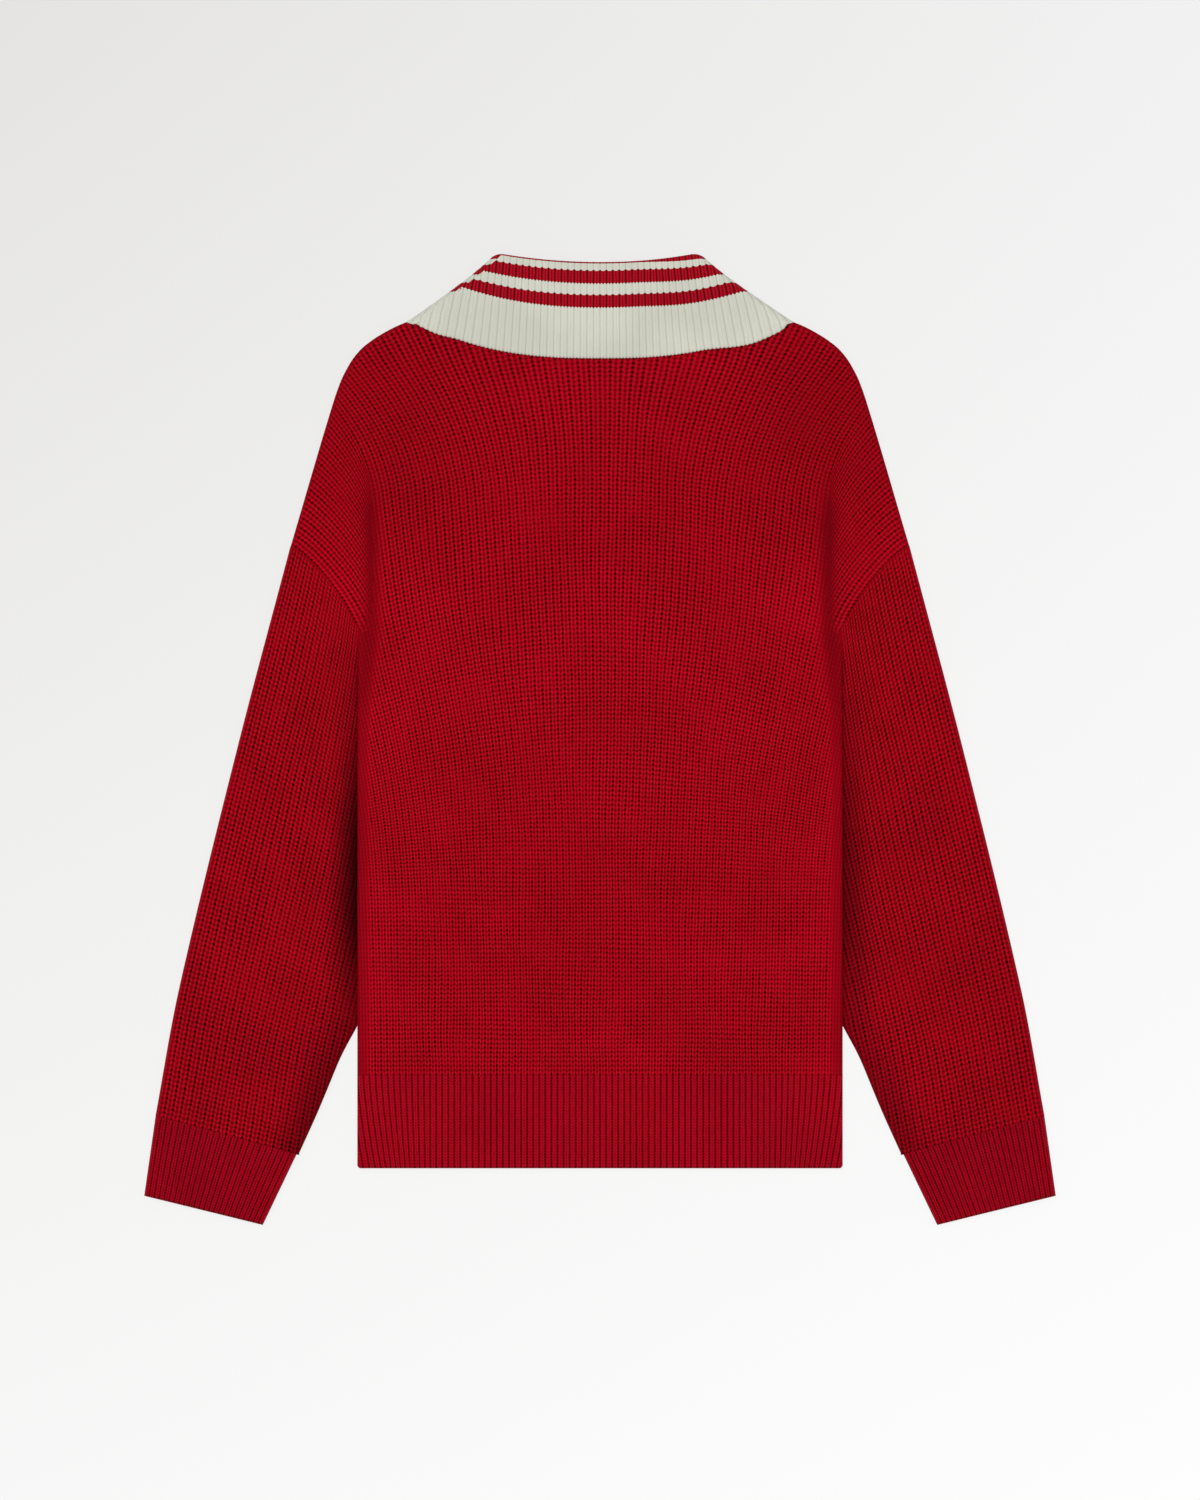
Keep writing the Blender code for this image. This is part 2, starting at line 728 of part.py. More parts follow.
def tape_place(share):
    """Height along the zip of each row of the tape."""
    bottom = wale_point(0, 1 / UPPER_ROWS, front_top)[1]
    return mix(bottom + GAP * 2, NECK_FRONT_Y - GAP, share)


def make_tape(material):
    """The tape in the slit, with the closed chain as a bead on the side that faces down."""
    half = SLIT_HALF - GAP
    body = Body()
    rings = []
    for share in spread(TAPE_ROWS):
        y = tape_place(share)
        top = mid_level(0, y) - GAP / 2
        low = top - TAPE_THICK
        bead = low - CHAIN_THICK
        section = [
            (-half, top), (-half, low), (-CHAIN_HALF, low), (-CHAIN_HALF, bead),
            (CHAIN_HALF, bead), (CHAIN_HALF, low), (half, low), (half, top),
        ]
        rings.append([(x, y, z) for x, z in section])
    rings = body.lines(rings)
    body.sheet([ring + ring[:1] for ring in rings], flip=True)
    for ring, flip in ((rings[0], False), (rings[-1], True)):
        caps = [(0, 1, 2, 7), (2, 5, 6, 7), (2, 3, 4, 5)]
        for cap in caps:
            face = tuple(ring[corner] for corner in cap)
            body.faces.append(face[::-1] if flip else face)
    return body.make("zip_tape", material)


def blocks(name, boxes, material, origin):
    """One body from boxes that share faces: ((x0, x1), (y0, y1), (z0, z1)) each."""
    ticks = [sorted({round(end, 7) for box in boxes for end in box[axis]}) for axis in range(3)]
    cells = set()
    for box in boxes:
        spans = []
        for axis in range(3):
            low, high = (ticks[axis].index(round(end, 7)) for end in box[axis])
            spans.append(range(low, high))
        cells |= {(i, j, k) for i in spans[0] for j in spans[1] for k in spans[2]}
    corners = {}
    faces = []
    sides = [
        ((1, 0, 0), ((1, 0, 0), (1, 1, 0), (1, 1, 1), (1, 0, 1))),
        ((-1, 0, 0), ((0, 0, 0), (0, 0, 1), (0, 1, 1), (0, 1, 0))),
        ((0, 1, 0), ((0, 1, 0), (0, 1, 1), (1, 1, 1), (1, 1, 0))),
        ((0, -1, 0), ((0, 0, 0), (1, 0, 0), (1, 0, 1), (0, 0, 1))),
        ((0, 0, 1), ((0, 0, 1), (1, 0, 1), (1, 1, 1), (0, 1, 1))),
        ((0, 0, -1), ((0, 0, 0), (0, 1, 0), (1, 1, 0), (1, 0, 0))),
    ]
    for cell in sorted(cells):
        for step, square in sides:
            if tuple(a + b for a, b in zip(cell, step)) in cells:
                continue
            face = []
            for corner in square:
                key = tuple(a + b for a, b in zip(cell, corner))
                face.append(corners.setdefault(key, len(corners)))
            faces.append(face)
    points = []
    for key in corners:
        points.append([ticks[axis][key[axis]] - origin[axis] for axis in range(3)])
    mesh = bpy.data.meshes.new(name)
    mesh.from_pydata(points, [], faces)
    mesh.materials.append(material)
    piece = bpy.data.objects.new(name, mesh)
    piece.location = origin
    bpy.context.scene.collection.objects.link(piece)
    return piece


def make_slider_and_tab(material):
    """The slider straddles the chain. The tab's bar turns between its plate and its arch."""
    tape_low = NECK_LEVEL - GAP / 2 - TAPE_THICK
    plate_top = tape_low - CHAIN_THICK - GAP
    plate_low = plate_top - PLATE_THICK
    arch_top = plate_low - ARCH_SPACE
    arch_low = arch_top - ARCH_BAR
    axis_z = (plate_low + arch_top) / 2
    ends = (SLIDER_Y - SLIDER_REACH, SLIDER_Y + SLIDER_REACH)
    inside = CHAIN_HALF + GAP
    boxes = [((-SLIDER_HALF, SLIDER_HALF), ends, (plate_low, plate_top))]
    boxes.append(((-SLIDER_HALF, -inside), ends, (plate_top, tape_low - GAP)))
    boxes.append(((inside, SLIDER_HALF), ends, (plate_top, tape_low - GAP)))
    arch = (SLIDER_Y - ARCH_REACH, SLIDER_Y + ARCH_REACH)
    arch_x = (-ARCH_HALF, ARCH_HALF)
    boxes.append((arch_x, (arch[0], arch[0] + ARCH_BAR), (arch_top, plate_low)))
    boxes.append((arch_x, (arch[1] - ARCH_BAR, arch[1]), (arch_top, plate_low)))
    boxes.append((arch_x, arch, (arch_low, arch_top)))
    slider = blocks("zip_slider", boxes, material, (0, SLIDER_Y, plate_low))

    thick = (axis_z - TAB_THICK / 2, axis_z + TAB_THICK / 2)
    bar = (SLIDER_Y - TAB_THICK / 2, SLIDER_Y + TAB_THICK / 2)
    window = (SLIDER_Y - TAB_THICK / 2 - TAB_WINDOW_LENGTH, bar[0])
    tip = SLIDER_Y - TAB_LENGTH
    boxes = [((-TAB_HALF, TAB_HALF), bar, thick)]
    boxes.append(((-TAB_HALF, -TAB_WINDOW_HALF), window, thick))
    boxes.append(((TAB_WINDOW_HALF, TAB_HALF), window, thick))
    boxes.append(((-TAB_HALF, TAB_HALF), (tip, window[0]), thick))
    tab = blocks("zip_pull_tab", boxes, material, (0, SLIDER_Y, axis_z))
    return slider, tab


def main():
    for old in list(bpy.data.objects):
        bpy.data.objects.remove(old, do_unlink=True)
    red = make_material("red_knit", RED, 0.9, 0.0)
    cream = make_material("cream_rib", CREAM, 0.9, 0.0)
    tape = make_material("zip_tape", DARK_RED, 0.8, 0.0)
    metal = make_material("zip_metal", METAL, 0.3, 1.0)
    make_back(red)
    make_front(red)
    make_hem_back(red)
    make_hem_front(red)
    for side, mirrored in (("right", False), ("left", True)):
        make_sleeve(f"sleeve_{side}", red, mirrored)
        make_cuff(f"cuff_{side}", red, mirrored)
    make_collar(cream)
    make_tape(tape)
    make_slider_and_tab(metal)


main()
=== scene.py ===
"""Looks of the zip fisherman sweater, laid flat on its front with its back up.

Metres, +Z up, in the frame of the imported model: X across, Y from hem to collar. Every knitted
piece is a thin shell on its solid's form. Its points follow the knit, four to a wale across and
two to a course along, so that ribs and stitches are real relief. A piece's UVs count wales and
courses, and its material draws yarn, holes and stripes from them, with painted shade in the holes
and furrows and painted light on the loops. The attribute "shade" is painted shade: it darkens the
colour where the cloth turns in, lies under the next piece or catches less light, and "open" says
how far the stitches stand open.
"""

import math

import bpy
import numpy as np
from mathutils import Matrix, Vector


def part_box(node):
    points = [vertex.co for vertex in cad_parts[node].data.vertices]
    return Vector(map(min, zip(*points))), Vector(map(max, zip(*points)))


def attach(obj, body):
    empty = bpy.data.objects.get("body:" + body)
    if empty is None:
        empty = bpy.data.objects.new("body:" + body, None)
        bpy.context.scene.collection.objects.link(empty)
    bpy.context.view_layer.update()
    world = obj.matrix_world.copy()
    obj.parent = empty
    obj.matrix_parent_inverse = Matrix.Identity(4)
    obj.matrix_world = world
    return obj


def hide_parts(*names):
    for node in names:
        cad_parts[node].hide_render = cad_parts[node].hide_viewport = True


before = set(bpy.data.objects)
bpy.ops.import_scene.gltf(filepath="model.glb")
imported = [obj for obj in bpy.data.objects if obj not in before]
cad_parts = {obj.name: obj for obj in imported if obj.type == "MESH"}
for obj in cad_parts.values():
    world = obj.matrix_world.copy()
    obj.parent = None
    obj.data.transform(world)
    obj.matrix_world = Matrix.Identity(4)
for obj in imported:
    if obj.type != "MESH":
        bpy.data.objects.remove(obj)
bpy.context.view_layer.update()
GARMENT = "garment"
PULL_TAB = "pull_tab"

# ---- sizes ---------------------------------------------------------------------------------

WALL = 0.0030  # thickness of the knit
GAP = 0.0003  # space between two layers
PLY = 2 * WALL + GAP
ROUNDING = 0.0030  # width over which a fold rounds off
EDGE = 0.0016  # thickness of one wall at the open end of a band

BODY_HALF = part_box("hem_rib_back")[1].x
HEM_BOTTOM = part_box("hem_rib_back")[0].y
BODY_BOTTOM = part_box("back")[0].y
UNDERARM_Y = 0.0860

# Stitches
COURSE = 0.0036  # height of a course in the body
FAN = [  # y, width of a wale: the knit fans out from the lower rib to the shoulders
    (-0.2675, 0.00485),
    (-0.1700, 0.00490),
    (-0.0900, 0.00500),
    (-0.0160, 0.00530),
    (0.0640, 0.00590),
    (0.1120, 0.00625),
    (0.1760, 0.00658),
    (0.2080, 0.00676),
    (0.2400, 0.00722),
    (0.2720, 0.00805),
    (0.3040, 0.00915),
    (0.3500, 0.01060),
]
SIDE_WALE = 41  # one more than the wales on each side of the middle at the lower rib
ARCH = 0.0260  # how far a course drops from the middle to ARCH_X, above the waist
ARCH_X = 0.1600
ARCH_Y = (-0.14, 0.04)  # heights between which the arch comes up
LAG = 0.27  # how much lower the holes of every second column are, in courses
STITCH_DEPTH = 0.0011  # of the holes between the loops of the fisherman rib
RIB_DEPTH = 0.0012  # of the furrows between the ribs of the bands
UNEVEN = 0.16  # how much the depth of the stitches differs, as a share
WAVES = [  # how the knit wanders: size, length along x, length along y, phase
    (0.00060, 0.130, 0.190, 0.4),
    (0.00020, 0.061, 0.093, 2.1),
    (0.00008, 0.023, 0.031, 4.0),
]
WANDER_X = (0.75 * BODY_HALF, 0.9 * BODY_HALF)  # outward over this the knit stops wandering
WANDER_Y = (BODY_BOTTOM, BODY_BOTTOM + 0.03)  # and it begins over this height
WANDER_END_Y = (0.24, 0.28)  # over which it stops wandering up and down

# Neck, shoulder and armhole on the +X side
NECK_HALF = 0.0880
NECK_SIDE_Y = 0.3460
NECK_BACK_Y = 0.3290
NECK_FRONT_Y = 0.2850
SHOULDER = [  # share, x, y from the neck, over the shoulder and down to the armhole
    (0.45, NECK_HALF, NECK_SIDE_Y),
    (0.60, 0.1180, 0.3430),
    (0.76, 0.1480, 0.3355),
    (0.82, 0.1680, 0.3275),
    (0.87, 0.1900, 0.3128),
    (0.90, 0.2025, 0.2960),
    (0.93, 0.2130, 0.2700),
    (1.00, 0.2472, 0.1548),
]
ARMHOLE_LEAVE = (0.0200, 0.0660)
ARMHOLE_LEAN = math.radians(60)
VALLEY = [  # share, x, y of the line where the yoke's wales begin, up from the underarm
    (0.00, BODY_HALF, UNDERARM_Y),
    (0.12, 0.1850, 0.0960),
    (0.30, 0.1818, 0.1150),
    (0.60, 0.1818, 0.1520),
    (1.00, 0.1838, 0.2076),
]
FOLD = [  # share, x, y of the soft fold over that line, where the stitches close
    (0.00, 0.1915, -0.0300),
    (0.25, 0.1868, 0.0300),
    (0.50, 0.1820, 0.0900),
    (0.75, 0.1815, 0.1650),
    (1.00, 0.1838, 0.2350),
]
FOLD_WIDTH = 0.0062
DIP_SHIFT = 0.0018  # from the fold outward to the bottom of its dip
DIP_WIDTH = 0.0074
DIP_DEPTH = 0.0012
DIP_SHADE = {-1: 0.26, 1: 0.34}  # painted shade in the dip, on the left and on the right
SEAM_DIP = 0.0006  # depth of the furrow along the armhole's seam
SEAM_DIP_WIDTH = 0.0014
YOKE_WALES = 15
YOKE_VALLEY_COURSES = 22  # down the valley, from the split wale to the armhole
YOKE_SIDE_COURSES = 14  # down the silhouette, from the split wale to the armhole
YOKE_TUCK = 0.00015  # how far the yoke's knit lies below the middle's where they meet
YOKE_TUCK_WALES = 0.15  # and how far it reaches under it
YOKE_TUCK_UNDER = 1.5  # there it lies this many times as far below
CLIMB_END_Y = 0.3000  # above the end of the wale that climbs from the valley to the silhouette

# Where the stitches close, and where painted shade darkens the cloth: how much, and from where to where
CLOSED_SHOULDERS = 0.12
CLOSED_SHOULDERS_Y = (0.06, 0.26)
CLOSED_YOKES = 0.08
CLOSED_YOKES_X = (0.182, 0.212)
CLOSED_YOKES_Y = (0.08, 0.14)
CLOSED_SIDES = 0.85
CLOSED_SIDES_X = (BODY_HALF - 0.0130, BODY_HALF - 0.0050)
SIDE_SHADE = 0.12
SIDE_SHADE_X = (BODY_HALF - 0.014, BODY_HALF)
SHOULDER_SHADE = 0.14
SHOULDER_SHADE_X = (0.04, 0.16)
SHOULDER_SHADE_Y = (0.10, 0.26)
UPPER_SHADE = 0.10
UPPER_SHADE_Y = (0.08, 0.20)
FOLD_CALM = (0.0002, 0.0030)  # distances from a fold over which the stitches come up to full depth
SEAM_CALM = (-0.0012, 0.0012)  # the same from a seam
CREASE_CLEAR = (0.002, 0.02)  # the same for the creases, from a fold

# Rise of the mid level over the part of the collar that is folded under the front
RISE_FROM_Y = 0.1200
RISE_TO_Y = 0.2400
RISE_FULL_X = 0.1580
RISE_END_X = 0.2250

# Sleeve and cuff on the +X side
SLEEVE_OUTER = [  # x, y up the outer fold from the cuff
    (0.3552, -0.3000),
    (0.3368, -0.2004),
    (0.2904, -0.0084),
    (0.2475, 0.1545),
]
SPLIT_Y = -0.2250  # the sleeve parts from the body below this
SLEEVE_INNER = [  # x, y up the underarm seam from the cuff
    (0.2405, -0.3308),
    (0.2250, -0.2964),
    (0.2050, -0.2484),
    (BODY_HALF, SPLIT_Y),
]
SLEEVE_WALE = 0.0065
SLEEVE_WALES = 23
SLEEVE_COURSES = 122
TUCK_DROP = 0.0050  # how much lower the sleeve lies where it is tucked under the body's side
TUCK_UNDER = 0.0019  # and how far it reaches under it
TUCK_WIDTH = 0.0150
TUCK_EASE = 0.0300  # below the underarm, where the sleeve comes up to the body's level
TUCK_FADE = 0.0350
TUCK_FLATTENS = 0.5  # how much shallower the stitches are there
TUCK_CLOSES = 0.3  # and how much less open
SLEEVE_EVEN = (0.01, 0.03)  # distances from a fold over which the knit begins to wander
SLEEVE_EVEN_COURSES = 8  # the same from the cuff and from the armhole
SLEEVE_WANDER = (1.1, 0.3)  # scale and shift of x, so that sleeves and body wander differently
SLEEVE_SHADE = 0.87  # the sleeves catch less light than the body
CREVICE_TOP = 0.1000  # heights where the shadow beside the body begins, is deepest, and eases
CREVICE_DEEP = -0.1000
CREVICE_RISE = -0.1400
CREVICE_END = -0.2250
CREVICE_WIDTH = 0.0350
CREVICE_EASE = 0.45  # how much of it is gone where it has eased
CREVICE_SHADE = {-1: 0.94, 1: 0.66}  # on the left and on the right
CUFF_TOP = ((0.2423, -0.3311), (0.3552, -0.3003))  # inner and outer corner
CUFF_END = ((0.2696, -0.3881), (0.3644, -0.3648))
CUFF_CALM = (0.0004, 0.0040)
CUFF_RIBS = 24
CUFF_COURSES = 28
HEM_RIBS = 80
HEM_COURSES = 32
HEM_SWAY = 0.0098  # how far the outermost ribs of the lower band lean inward at its edge
HEM_SWAY_FROM = 0.1300
HEM_SWAY_BEND = 1.4
HEM_TURNED_RIBS = 3  # further ribs on each side, which come round the fold low down
HEM_CORNER = 0.0026
BAND_SHADE = 0.84
BAND_EDGE = [  # from inside a band round its open edge: distance from it, share of thickness, course
    (0.0120, 0.00, -4.0),
    (0.0010, 0.00, -1.0),
    (0.0002, 0.16, -0.6),
    (0.0000, 0.32, -0.4),
    (0.0003, 0.47, -0.2),
    (0.0012, 0.72, 0.0),
]
EDGE_RELIEF = 0.35  # depth of the ribs round that edge, as a share

# Collar
CREST_SIDE_Y = 0.3876
CREST_BACK_Y = 0.3812
CREST_FRONT_Y = 0.3330
EDGE_BACK_Y = 0.3046
EDGE_FRONT_Y = 0.2530
EDGE_POWER = 2.6  # of the free edge's curve; the other curves have 2
EDGE_SAGS = [  # where it hangs lower: side, x where that begins, is full, eases and ends, drop
    (1, 0.080, 0.128, 0.1440, 0.1575, 0.0066),
    (-1, 0.112, 0.134, 0.1440, 0.1575, 0.0024),
]
FALL_SIDE = [  # share of the fall, x, y down the fold at the side of the neck
    (0.00, 0.0840, CREST_SIDE_Y),
    (0.25, 0.1010, 0.3727),
    (0.50, 0.1184, 0.3600),
    (1.00, 0.1560, 0.3356),
]
RIGHT_CREST_IN = 0.0036  # how much nearer the middle the crest ends on the right
RIGHT_CREST_X = (0.02, 0.08)
STAND_IN = GAP / 2
STAND_OUT = WALL + GAP / 2
FALL_IN = STAND_OUT + GAP
FALL_OUT = FALL_IN + WALL
STAND_LENGTH = 0.0500
FALL_LENGTH = 0.0780
COLLAR_RIB = 0.0051  # width of a rib in the middle of the crest
COLLAR_FAN = 0.03  # how much further out a rib is at the free edge
COLLAR_SIDE_FAN = 0.13  # and how much more at COLLAR_FAN_RIB
COLLAR_FAN_RIB = 22
COLLAR_FAN_MOST = 1.2  # times that rib, beyond which it grows no more
COLLAR_RIBS = 32  # on each side of the middle, of which the folds take the outer ones
COLLAR_DEPTH = 0.0009
COLLAR_EVEN = 0.004  # width beside the side fold where the ribs are even, and the edge is straight
COLLAR_END_CALM = 0.003  # width beside the open front ends where the ribs flatten out
SCALLOP_EDGE = 0.0007  # how far each strand of a rib hangs over the free edge
SCALLOP_FROM = 0.96  # share of the fall
COLLAR_TURN = 24  # steps round the fold at the side of the neck
COLLAR_FRONT_RIBS = 34
COLLAR_COURSES = 34
COLLAR_END_TOP = 0.0060
COLLAR_END_EDGE = 0.0150
NECK_GAP = 0.0006

# Seam allowance that runs on under the next piece
SEAM_REACH = 0.0014
SEAM_SINK = 0.0008
# painted shade on the allowance, where it lies under the next piece
SEAM_SHADE = 0.35
ARMHOLE_OUT = (-0.8, 0.6)  # the way in which it runs from the sleeve under the body

# Zip
ZIP_BOTTOM = 0.1125
ZIP_TOP = NECK_FRONT_Y
TAPE_THICK = 0.0010
CHAIN_START = 0.003  # from the bottom of the zip to the first tooth
CHAIN_SHORT = 0.004  # how much shorter the chain is than the zip
TOOTH_PITCH = 0.0026
TOOTH_HALF = 0.00055
TOOTH_OVERLAP = 0.0006  # how far a tooth reaches past the middle
TOOTH_REACH = 0.0026
TOOTH_PROUD = 0.0018  # from the tape down to a tooth's face, just past the bead's
TOOTH_DEEP = 0.0014
TOOTH_BEVEL = 0.0002
METAL_BEVEL = 0.00025
SHARP_FROM = math.radians(50)  # metal edges that turn by more than this stay sharp
JOIN_WITHIN = 1e-5  # corners of a solid this near each other become one


# ---- small helpers -------------------------------------------------------------------------


def smooth(value, low, high):
    share = np.clip((value - low) / (high - low), 0.0, 1.0)
    return share * share * (3 - 2 * share)


def rounded(distance, width):
    """0 at an edge, and 1 from this width inward, along a quarter circle."""
    share = np.clip(distance / width, 0.0, 1.0)
    return np.sqrt(1 - (1 - share) ** 2)


def mix(a, b, share):
    return a + (b - a) * share


def hermite(start, leave, end, arrive, t):
    value = (2 * t**3 - 3 * t**2 + 1) * start + (3 * t**2 - 2 * t**3) * end
    return value + (t**3 - 2 * t**2 + t) * leave + (t**3 - t**2) * arrive


def through(rows, shares):
    """Points at these shares on the smooth curve through rows of (share, x, y)."""
    rows = np.array(rows, float)
    at = rows[:, 0]
    points = rows[:, 1:]
    slopes = np.empty_like(points)
    slopes[1:-1] = (points[2:] - points[:-2]) / (at[2:] - at[:-2])[:, None]
    slopes[0] = (points[1] - points[0]) / (at[1] - at[0])
    slopes[-1] = (points[-1] - points[-2]) / (at[-1] - at[-2])
    shares = np.asarray(shares, float)
    step = np.clip(np.searchsorted(at, shares, side="right") - 1, 0, len(at) - 2)
    span = (at[step + 1] - at[step])[..., None]
    t = (shares - at[step])[..., None] / span
    return hermite(points[step], slopes[step] * span, points[step + 1], slopes[step + 1] * span, t)


def by_length(points):
    """Rows of (share, x, y), with the share taken from the length along the points."""
    points = np.array(points, float)
    lengths = np.concatenate([[0], np.cumsum(np.linalg.norm(np.diff(points, axis=0), axis=1))])
    return np.column_stack([lengths / lengths[-1], points])


def evenly(points, shares):
    """Points at these shares of the length along a line of many points."""
    rows = by_length(points)
    return np.stack([np.interp(shares, rows[:, 0], rows[:, axis]) for axis in (1, 2)], axis=-1)


def mid_level(x, y):
    rise = smooth(y, RISE_FROM_Y, RISE_TO_Y) * (1 - smooth(np.abs(x), RISE_FULL_X, RISE_END_X))
    return WALL + GAP / 2 + (WALL + GAP) * rise


NECK_LEVEL = float(mid_level(0.0, RISE_TO_Y))


def wander(x, y):
    """How far the knit strays from its even course at a place, across and along."""
    across = np.zeros_like(x)
    along = np.zeros_like(x)
    for size, length_x, length_y, phase in WAVES:
        across += size * np.sin(2 * math.pi * (x / length_x + y / length_y) + phase)
        along += size * np.cos(2 * math.pi * (y / length_x - x / length_y) + 2 * phase)
    return across, along


def columns_of(rows):
    """Each column of a table, as a column of its own."""
    return (values[:, None] for values in np.array(rows, float).T)


# ---- meshes from grids of points -----------------------------------------------------------

MEET_WITHIN = 2e-6  # points this near each other become one


class Grid:
    """Rows and columns of points, with their stitch counts and shading."""

    def __init__(self, x, y, z, u, v, shade=1.0, open_=1.0, flip=False):
        shape = np.broadcast_shapes(np.shape(x), np.shape(y), np.shape(z))
        self.points = np.stack([np.broadcast_to(a, shape) for a in (x, y, z)], axis=-1)
        self.uv = np.stack([np.broadcast_to(a, shape) for a in (u, v)], axis=-1)
        self.shade = np.broadcast_to(shade, shape)
        self.open = np.broadcast_to(open_, shape)
        self.flip = flip

    def sewn_under(self, last, shift):
        """Adds a row beside the last or the first one, as allowance under the next piece, darkened by
        painted shade.
        """
        end = slice(-1, None) if last else slice(0, 1)
        changes = {"points": np.array(shift), "uv": 0.0, "shade": -SEAM_SHADE, "open": 0.0}
        for name, change in changes.items():
            values = getattr(self, name)
            extra = values[end] + change
            setattr(self, name, np.concatenate([values, extra] if last else [extra, values]))
        return self

    def mirrored(self):
        x, y, z = (self.points[..., axis] for axis in range(3))
        u, v = self.uv[..., 0], self.uv[..., 1]
        return Grid(-x, y, z, -u, v, self.shade, self.open, not self.flip)


def quads_of(grid, first):
    rows, columns = grid.points.shape[:2]
    index = first + np.arange(rows * columns).reshape(rows, columns)
    corners = [index[:-1, :-1], index[:-1, 1:], index[1:, 1:], index[1:, :-1]]
    quads = np.stack([corner.ravel() for corner in corners], axis=1)
    return quads[:, ::-1] if grid.flip else quads


def first_points(grids):
    """The number of each grid's first point, where the points of all are counted on."""
    return np.cumsum([0] + [grid.shade.size for grid in grids])


def mesh_from(name, grids, caps=()):
    """One mesh object from grids. Points that meet become one, and faces without area go."""
    points = np.concatenate([grid.points.reshape(-1, 3) for grid in grids])
    uv = np.concatenate([grid.uv.reshape(-1, 2) for grid in grids])
    shade = np.concatenate([grid.shade.ravel() for grid in grids])
    open_ = np.concatenate([grid.open.ravel() for grid in grids])
    quads = np.concatenate([quads_of(grid, first) for grid, first in zip(grids, first_points(grids))])
    cells = np.round(points / MEET_WITHIN)
    _, kept, place = np.unique(cells, axis=0, return_index=True, return_inverse=True)
    place = place.reshape(-1)
    welded = place[quads]
    repeats = welded == np.roll(welded, -1, axis=1)
    opposite = (welded[:, 0] == welded[:, 2]) | (welded[:, 1] == welded[:, 3])
    corners = []
    for column in range(4):
        chosen = (repeats.sum(axis=1) == 1) & repeats[:, column] & ~opposite
        corners.append(np.delete(quads[chosen], column, axis=1))
    triangles = np.concatenate(corners)
    squares = quads[(repeats.sum(axis=1) == 0) & ~opposite]
    loops = np.concatenate([squares.ravel(), triangles.ravel()] + [np.array(cap) for cap in caps])
    sizes = [4] * len(squares) + [3] * len(triangles) + [len(cap) for cap in caps]
    begins = np.concatenate([[0], np.cumsum(sizes)[:-1]])
    mesh = bpy.data.meshes.new(name)
    mesh.vertices.add(len(kept))
    mesh.vertices.foreach_set("co", points[kept].ravel())
    mesh.loops.add(len(loops))
    mesh.loops.foreach_set("vertex_index", place[loops].astype(np.int32))
    mesh.polygons.add(len(sizes))
    mesh.polygons.foreach_set("loop_start", begins.astype(np.int32))
    layer = mesh.uv_layers.new(name="knit")
    layer.data.foreach_set("uv", uv[loops].ravel())
    for label, values in (("shade", shade), ("open", open_)):
        attribute = mesh.attributes.new(label, "FLOAT", "POINT")
        attribute.data.foreach_set("value", values[kept].astype(np.float32))
    mesh.update(calc_edges=True)
    mesh.validate()
    mesh.shade_smooth()
    return add_object(name, mesh)


def add_object(name, data):
    added = bpy.data.objects.new(name, data)
    bpy.context.scene.collection.objects.link(added)
    return added


def finish_piece(piece, material, nodes=(), body=GARMENT):
    piece.data.materials.append(material)
    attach(piece, body)
    if nodes:
        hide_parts(*nodes)
    return piece


# ---- stitches ------------------------------------------------------------------------------


def lag(u):
    """How much lower the holes come in every second column, in courses."""
    return -LAG / 2 * (1 - np.cos(2 * math.pi * u))


def stitch_relief(u, v):
    """Depth of the fisherman rib below its highest loops, from 0 to 1."""
    column = 0.5 * (1 + np.cos(4 * math.pi * u))
    strong = 0.75 + 0.25 * np.cos(2 * math.pi * u)
    row = 0.5 * (1 + np.cos(2 * math.pi * (v - lag(u))))
    return column * strong * (0.5 + 0.5 * row) + 0.18 * (1 - column) * (1 - row)


def rib_relief(u, v):
    """Depth of a ribbed band below its ribs: furrows at whole numbers, a faint line between."""
    furrow = 0.5 * (1 + np.cos(2 * math.pi * u))
    middle = 0.5 * (1 + np.cos(4 * math.pi * u)) * (1 - furrow)
    return furrow**1.5 + 0.22 * middle + 0.05 * np.cos(2 * math.pi * v)


def stitch_rows(courses):
    return np.arange(2 * courses + 1) / 2


def uneven(shape, seed):
    """Small differences from stitch to stitch, around 1."""
    strayed = 1 + UNEVEN * np.random.default_rng(seed).standard_normal(shape)
    return np.clip(strayed, 0.5, 1.4)


# ---- outline of the body -------------------------------------------------------------------

OUTLINE = through(SHOULDER, np.linspace(SHOULDER[0][0], 1, 217))
VALLEY_LINE = through(VALLEY, np.linspace(0, 1, 60))
FOLD_LINE = through(FOLD, np.linspace(0, 1, 12))
VALLEY_TOP = VALLEY[-1][2]


def course_count(x, y):
    """Courses from the bottom of the body up to a place above the waist."""
    return (y + ARCH * (x / ARCH_X) ** 2 - BODY_BOTTOM) / COURSE


def wale_width(y):
    rows = np.array(FAN)
    return through([(y_, width, 0.0) for y_, width in rows], y)[..., 0]


# The wale that climbs from the head of the valley to the silhouette
SPLIT_WALE = float(VALLEY[-1][1] / wale_width(VALLEY_TOP))


def side_limit(y):
    """Half the width of the middle part: body side, valley, and the wale above the valley."""
    valley = np.interp(y, VALLEY_LINE[:, 1], VALLEY_LINE[:, 0])
    above = SPLIT_WALE * wale_width(y)
    return np.where(y < UNDERARM_Y, BODY_HALF, np.where(y < VALLEY_TOP, valley, above))


def neck_curve(x, half, middle_y, side_y, power=2):
    """Height of an edge that climbs from the middle of the neck to its side."""
    return middle_y + (side_y - middle_y) * np.minimum(np.abs(x) / half, 1) ** power


